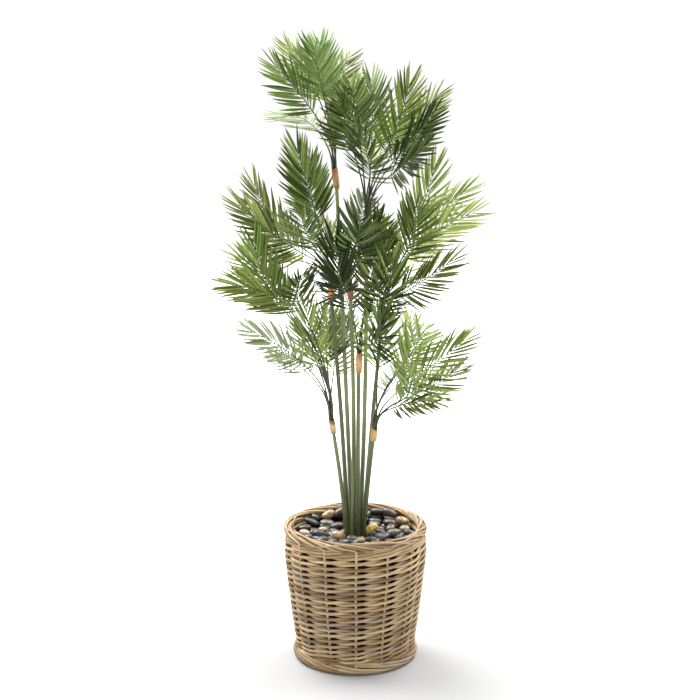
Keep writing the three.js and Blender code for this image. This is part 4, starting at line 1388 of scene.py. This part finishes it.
@dataclass(frozen=True)
class Frond:
    """One frond, laid out by the same rule as its solid. Angles are degrees: a heading of 0 is
    +X and 90 is the back."""

    tone: Tone
    node: str  # the rod's letter and a number
    petiole: float  # length, heading and rise from the husk to the lowest leaflets
    heading: float
    rise: float
    blade: float  # length, heading and rise from there to the tip
    blade_heading: float
    blade_rise: float
    leaflet: float  # the longest leaflet
    turn: float  # how far the upper face turns to the front
    slot: float  # where on the husk's ring the stalk starts
    nudge: float = 0.0  # how far the stalk swings aside to pass its neighbours
    slot_radius: float = 4.3
    husk_gap: float = 0.3
    arch: float = 0.42  # place of a curve's control point, as a share of its length
    sink: float = 0.3  # degrees that a stalk sinks for each one that it swings aside

    def curves(self) -> tuple[tuple[Array, ...], tuple[Array, ...]]:
        """Lay out the frond's two curves.

        Returns:
            Start, control point and end of the petiole, and the same of the blade.
        """
        top = next(rod.top for rod in RODS if rod.letter == self.node[0])
        start = np.array(top, float) + direction(self.slot, 0) * self.slot_radius + UP * self.husk_gap
        aside = abs(self.nudge) * self.sink
        knee = start + direction(self.heading + self.nudge, self.rise - aside) * self.petiole
        tip = knee + direction(self.blade_heading + self.nudge, self.blade_rise) * self.blade
        lift = start + UP * self.petiole * self.arch
        bow = knee + unit(knee - lift) * self.blade * self.arch
        return (start, lift, knee), (knee, bow, tip)

    def faces(self, ways: Array) -> Array:
        """Directions of the frond's upper face at places on the blade.

        Args:
            ways: Unit vector along the rib at each place.

        Returns:
            The face at each place, carried from the middle of the blade without a twist.
        """
        turn = math.radians(self.turn)
        middle = bezier(self.curves()[1], np.array([0.5]))[1][0]
        return carry(square_to(UP * math.cos(turn) + FRONT * math.sin(turn), middle), middle, ways)


FROND_ROWS = """
MID A1 140 220 65 190 224 42 96 60 92
OLIVE A2 160 156 75 210 134 47 90 50 20
DARK A3 175 236 77 180 262 43 100 20 236
BRIGHT A3 162 172 84 186 100 59 95 50 236
LIME A4 150 94 74 200 70 41 95 30 308
PALE A5 100 126 55 200 132 12 95 20 164
MID A4 130 302 86 195 78 26 95 60 308
MID B1 180 246 78 210 262 45 105 20 184
MID B2 150 78 80 220 90 66 100 60 40
OLIVE B3 155 340 75 230 310 58 100 60 112 -13
OLIVE B4 155 22 69 225 40 47 95 60 256 -8
DARK B5 135 326 63 215 312 41 95 60 328
DEEP B1 100 278 58 200 252 47 100 15 184
LIME B2 135 76 55 220 68 42 100 0 40
MID B1 150 206 78 205 260 38 105 60 184
DARK B5 130 302 48 215 294 25 100 60 328
OLIVE C1 100 206 49 250 182 39 95 70 40
LIME C2 120 164 50 235 146 51 95 60 112
MID C3 165 224 76 225 232 67 100 70 256
DARK C4 160 126 75 210 92 51 95 30 184 4
LIME C2 105 138 28 220 124 28 95 0 112
DEEP C5 115 240 54 200 258 37 105 15 328
OLIVE E1 265 192 69 205 200 22 100 70 0
OLIVE E1 270 170 69 230 156 38 95 60 0
MID E2 280 204 70 215 214 69 100 75 60 -13
MID E3 280 226 70 180 282 44 95 30 300
PALE E4 155 218 60 205 212 32 85 60 240
MID E3 135 232 69 190 250 48 90 30 300
OLIVE E5 115 138 73 200 108 59 90 50 180
LIME E6 100 84 52 200 86 53 90 30 120
PALE E5 130 124 41 200 120 10 90 0 180
OLIVE E6 120 100 70 190 88 47 90 50 120
DEEP H1 50 260 -5 210 242 68 110 70 0
MID H2 70 50 79 210 78 41 100 40 90
LIME H3 75 110 46 210 110 31 95 0 180
DEEP H4 70 278 55 200 278 38 105 20 270
MID H4 60 314 63 200 290 39 105 60 270
OLIVE G1 70 312 49 215 326 34 95 60 0
LIME G2 140 356 69 250 12 30 100 70 72
OLIVE G2 155 36 66 265 12 43 95 60 72
OLIVE G3 190 24 70 240 40 65 100 60 216
MID G4 95 274 29 200 274 64 105 70 288
LIME G5 105 64 36 220 62 29 95 0 144
MID G3 150 314 66 220 280 50 100 60 216
LIME D1 140 64 75 210 64 49 100 60 0
MID D2 130 316 78 200 296 55 100 30 90
DARK D3 100 108 57 210 102 25 95 0 180
MID D4 90 306 63 190 270 36 100 20 270
DARK D4 50 294 25 190 282 43 95 50 270
DARK D3 65 106 0 190 98 27 95 40 180 -4
OLIVE F1 110 344 58 250 338 40 95 65 40
OLIVE F1 100 18 40 200 32 22 90 50 40
OLIVE F2 70 326 48 190 312 14 85 40 256
MID F3 85 332 50 190 266 51 95 25 328
LIME F4 140 30 62 200 80 44 90 40 112
PALE F5 110 60 39 210 60 23 90 0 184 8
MID F3 145 274 82 205 278 60 100 60 328
MID F4 165 12 65 200 72 23 100 60 112
"""


# How full the fronds of each rod are: the outer and lower ones let more of the sky through
FULLNESS = {
    "A": 1.05, "B": 1.2, "C": 1.2, "D": 1.45, "H": 1.3, "G": 0.96, "E": 1.08, "F": 0.93,
}

# How much lighter or darker each rod's leaflets are: the outer rods reach out of the shade
SHADED, PLAIN = (-2, -1, 0, 0, 1), (-1, 0, 0, 1, 1)
LIT, BRIGHTEST = (0, 0, 1, 1, 1), (0, 1, 1, 1, 2)
STEPS = {
    "A": LIT, "B": PLAIN, "C": PLAIN, "D": SHADED, "H": SHADED, "G": BRIGHTEST, "E": LIT,
    "F": BRIGHTEST,
}


def read_fronds() -> list[Frond]:
    """Fronds from the table above: its columns are the fields of a frond, in their order."""
    rows = (line.split() for line in FROND_ROWS.split("\n") if line)
    return [Frond(Tone[tone], node, *map(float, sizes)) for tone, node, *sizes in rows]


@dataclass
class Crown:
    """The fronds: stalks, and leaflets in finer pairs than the solids have."""

    pairs: int = 18
    tip_share: float = 0.8  # the rib ends here, and the last leaflets reach on to the tip
    lengths: tuple[tuple[float, float], ...] = (
        (0, 0.8), (0.2, 0.98), (0.55, 1.0), (0.8, 0.86), (1, 0.66),
    )  # place on the rib and share of the longest leaflet
    spread: tuple[float, float] = (60.0, 13.0)  # degrees from the rib, at its foot and tip
    lift: tuple[float, float] = (-16.0, 6.0)  # degrees out of the blade's face
    width_share: float = 0.069
    stations: tuple[float, ...] = (0.0, 0.1, 0.28, 0.5, 0.72, 0.89)
    outline: tuple[float, ...] = (0.22, 0.55, 0.92, 1.0, 0.78, 0.4)
    fold: float = 0.55  # how far the edges drop below the midrib, as a share of the half width
    thickness: float = 0.7
    roll: float = 0.3  # how far a leaflet may roll to either side
    sag: tuple[float, float] = (0.0, 0.09)  # drop of a leaflet's tip, as a share of its length
    bend: tuple[float, float] = (0.08, 0.24)  # how far its tip bends to the frond's, likewise
    shortening: float = 0.6  # how much less far a bent leaflet reaches
    stalk_radii: tuple[float, float, float] = (2.3, 1.5, 0.7)
    sunk: float = 22.0  # how deep a stalk reaches into its husk
    drawn_in: float = 2.0  # how much nearer the husk's middle it starts
    stalk_rings: tuple[int, int] = (10, 14)  # rings of the petiole and of the rib
    draw: random.Random = field(default_factory=lambda: random.Random(47))

    def add_stalk(self, draft: Draft, frond: Frond) -> None:
        """Add the petiole, from inside its husk, and the rib to its end.

        Args:
            draft: Mesh that the stalk goes into.
            frond: The frond.
        """
        petiole, blade = frond.curves()
        lower, upper = self.stalk_rings
        low, low_way = bezier(petiole, np.linspace(0, 1, lower))
        high, high_way = bezier(blade, np.linspace(0.08, self.tip_share, upper))
        inside = petiole[0] - UP * self.sunk - direction(frond.slot, 0) * self.drawn_in
        path = np.concatenate([inside[None], low, high])
        tangents = np.concatenate([UP[None], low_way, high_way])
        wide, knee, tip = self.stalk_radii
        radii = np.concatenate([[wide], np.linspace(wide, knee, lower), np.linspace(knee, tip, upper)])
        east = square_to(np.broadcast_to(np.array([1.0, 0.1, 0]), path.shape), tangents)
        rings = oval_rings(path, east, np.cross(tangents, east), radii, radii, 6)
        steps = np.append(0, np.cumsum(np.linalg.norm(np.diff(path, axis=0), axis=1)))
        tones = np.where(np.arange(len(path) - 1) <= lower, 0, 1)
        draft.skin(rings, steps + self.draw.uniform(0, 900), 10, tones)

    def add_leaflets(self, draft: Draft, frond: Frond) -> None:
        """Add the leaflets of a frond in pairs.

        Args:
            draft: Mesh that the leaflets go into.
            frond: The frond.
        """
        shares = np.linspace(0, 1, round(self.pairs * FULLNESS[frond.node[0]]))
        _, blade = frond.curves()
        roots, ways = bezier(blade, lerp(0.02, self.tip_share, shares**1.05))
        # Each leaflet's shade is painted light or shade: one for the frond, moved by its rod's steps
        shade_of_frond = self.draw.choice((0, 1, 1, 2))  # most fronds are of a middle shade
        for share, root, forward, face in zip(shares, roots, ways, frond.faces(ways)):
            across = np.cross(face, forward)
            for side in (1, -1):
                spread = math.radians(lerp(*self.spread, share**0.8) + self.draw.uniform(-4, 5))
                lift = math.radians(self.draw.uniform(*self.lift))
                flat = forward * math.cos(spread) + across * side * math.sin(spread)
                way = flat * math.cos(lift) + face * math.sin(lift)
                length = frond.leaflet * float(along(self.lengths, share))
                length *= self.draw.uniform(0.93, 1.04)
                kind = min(3, max(0, shade_of_frond + self.draw.choice(STEPS[frond.node[0]])))
                start = root + forward * self.draw.uniform(-2, 2)
                self.add_leaflet(draft, start, way, forward, face, length, kind)

    def add_leaflet(
        self, draft: Draft, root: Array, way: Array, forward: Array, face: Array, length: float,
        kind: int,
    ) -> None:
        """Add one leaflet: a narrow blade folded along its midrib, which bends towards the tip
        of the frond and sags.

        Args:
            draft: Mesh that the leaflet goes into.
            root: Where it leaves the rib.
            way: Unit vector along it at its root.
            forward: Unit vector along the rib.
            face: Unit vector out of the frond's upper face.
            length: Its length.
            kind: Number of its shade.
        """
        sag, bend = self.draw.uniform(*self.sag), self.draw.uniform(*self.bend)
        tip_bend = forward * bend - UP * sag
        reach = np.array([*self.stations, 1.0])[:, None]
        less = self.shortening * bend * reach
        path = root + length * (way * reach * (1 - less) + tip_bend * reach**2)
        tangents = unit(way * (1 - 2 * less) + 2 * tip_bend * reach)
        roll = self.draw.uniform(-self.roll, self.roll)
        upper = square_to(np.broadcast_to(face + roll * np.cross(way, face), path.shape), tangents)
        edge = np.cross(upper, tangents)
        half = length * self.width_share / 2 * self.draw.uniform(0.9, 1.12)
        wide = half * np.array(self.outline)[:, None]
        drop = upper[:-1] * wide * self.fold
        middle = path[:-1]
        thick = upper[:-1] * self.thickness / 2
        rings = np.stack([middle + edge[:-1] * wide - drop, middle + thick,
                          middle - edge[:-1] * wide - drop, middle - thick], 1)
        count = len(rings)
        i, j = grid_of(count - 1, 4)
        beside = (j + 1) % 4
        quads = np.stack([i * 4 + j, i * 4 + beside, (i + 1) * 4 + beside, (i + 1) * 4 + j], 1)
        rows = np.array([*self.stations, 1.0]) * length
        spot = np.array([-half, 0.0, half, 0.0]) + self.draw.uniform(0, 90)
        u = np.stack([rows[i], rows[i], rows[i + 1], rows[i + 1]], 1)
        v = np.stack([spot[j], spot[beside], spot[beside], spot[j]], 1)
        shades = len(SHADES)
        # The fold's two halves catch the light differently, so one is a shade off
        halves = np.array([kind, min(shades - 1, max(0, kind + self.draw.choice((-1, 0, 1))))])
        tones = np.array([halves[0], halves[1], halves[1] + shades, halves[0] + shades])
        draft.add(rings, quads, np.stack([u, v], 2), tones[j])
        around, after = np.arange(4), np.array([1, 2, 3, 0])
        near, far = np.full(4, rows[-2]), np.full(4, rows[-1])
        ends = np.stack([np.stack([near, spot], 1), np.stack([near, spot[after]], 1),
                         np.stack([far, np.full(4, spot[1])], 1)], 1)
        # The tip is a new point, and the numbers below 0 are those of the last ring before it
        draft.add(path[-1:], np.stack([around - 4, after - 4, 0 * around], 1), ends, tones)
        foot = np.array([[0, 3, 2, 1]]) - count * 4 - 1
        draft.add(path[:0], foot, np.zeros((1, 4, 2)), kind)

    def build(self) -> None:
        """Build the stalks as one piece, and the leaflets of each tone as another."""
        fronds = read_fronds()
        stalks = Draft()
        for frond in fronds:
            self.add_stalk(stalks, frond)
        nodes = sorted({f"frond_{frond.node}" for frond in fronds})
        piece = stalks.piece("frond_stalks", [STALK_PLASTIC, RIB_PLASTIC], 60)
        hand_over(piece, nodes)
        for tone in Tone:
            mine = [frond for frond in fronds if frond.tone is tone]
            leaflets = Draft()
            for frond in mine:
                self.add_leaflets(leaflets, frond)
            name = tone.name.lower()
            piece = leaflets.piece(f"leaflets_{name}", leaf_finishes(tone), 25)
            hand_over(piece, sorted({f"frond_{frond.node}" for frond in mine}))


# The studio


@dataclass(frozen=True)
class Softbox:
    """Square light that hangs above and is turned to the middle of the plant."""

    name: str
    place: tuple[float, float, float]
    size: float
    power: float  # watts


@dataclass
class Studio:
    """Pale floor, soft light, and the camera at the photograph's angle."""

    camera_place: tuple[float, float, float] = (-13.0, -3430.0, 1428.6)
    pitch: float = 11.1  # degrees that the camera looks down
    focal_pixels: float = 1481.0  # focal length in pixels of the photograph, 700 wide
    picture: float = 700.0
    sensor: float = 36.0
    floor_size: float = 60000.0
    sky: float = 1.06
    aim: tuple[float, float, float] = (0.0, 0.0, 750.0)
    lamps: tuple[Softbox, ...] = (
        Softbox("key", (-2600, 2600, 6800), 5200, 1280.0),
        Softbox("fill", (3000, 2600, 6600), 4800, 690.0),
    )

    def build_floor(self) -> None:
        """Lay a wide sheet of pale paper, with the faint tooth that such paper has."""
        draft = Draft()
        steps = np.array([-1.0, -0.1, 0.1, 1.0]) * self.floor_size / 2
        x, y = np.meshgrid(steps, steps, indexing="ij")
        points = np.stack([x, y, 0 * x], 2)
        i, j = grid_of(3, 3)
        faces = np.stack([i * 4 + j, (i + 1) * 4 + j, (i + 1) * 4 + j + 1, i * 4 + j + 1], 1)
        draft.add(points, faces, points.reshape(-1, 3)[faces][:, :, :2])
        # The paper is greyer round the middle: painted shade for the soft shadow at the plant's foot
        paper = StudioPaper("studio_paper", "fefefe", 0.95, 1.4, 2.0, (0.99, 1.0))
        draft.piece("studio_floor", [paper])

    def build_lamps(self) -> None:
        """Hang the softboxes and set the even light of the room."""
        for box in self.lamps:
            light = bpy.data.lights.new(box.name, "AREA")
            light.energy, light.size = box.power, box.size * MM
            lamp = bpy.data.objects.new(box.name, light)
            lamp.location = np.array(box.place) * MM
            x, y, z = np.array(self.aim) - np.array(box.place)
            lamp.rotation_euler = (math.atan2(math.hypot(x, y), -z), 0, math.atan2(-x, y))
            bpy.context.scene.collection.objects.link(lamp)
        world = bpy.data.worlds.new("even_room_light")
        world.use_nodes = True
        background = world.node_tree.nodes["Background"]
        background.inputs["Color"].default_value = (1, 1, 1, 1)
        background.inputs["Strength"].default_value = self.sky
        bpy.context.scene.world = world
        bpy.context.scene.view_settings.view_transform = "Standard"

    def build_camera(self) -> None:
        """Set the camera up as the photograph was taken."""
        lens = bpy.data.cameras.new("camera")
        lens.sensor_width = self.sensor
        lens.lens = self.focal_pixels * self.sensor / self.picture
        lens.clip_end = 200
        camera = bpy.data.objects.new("camera", lens)
        camera.location = np.array(self.camera_place) * MM
        camera.rotation_euler = (math.radians(90 - self.pitch), 0, 0)
        bpy.context.scene.collection.objects.link(camera)
        bpy.context.scene.camera = camera

    def build(self) -> None:
        """Build floor, lamps and camera."""
        self.build_floor()
        self.build_lamps()
        self.build_camera()


def dress_filling() -> None:
    """Give the one solid that stays, the filling under the pebbles, its dark set foam."""
    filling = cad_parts["filling"]
    filling.data.materials.clear()
    filling.data.materials.append(BEDDING.material())


def main() -> None:
    """Build every piece in order."""
    logging.basicConfig(level=logging.INFO, format="%(message)s", force=True)
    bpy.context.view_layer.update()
    dress_filling()
    for part in (Basket(), PebbleBed(), Stems(), Crown(), Studio()):
        LOG.info("building the %s", type(part).__name__)
        part.build()


if __name__ == "__main__":
    main()
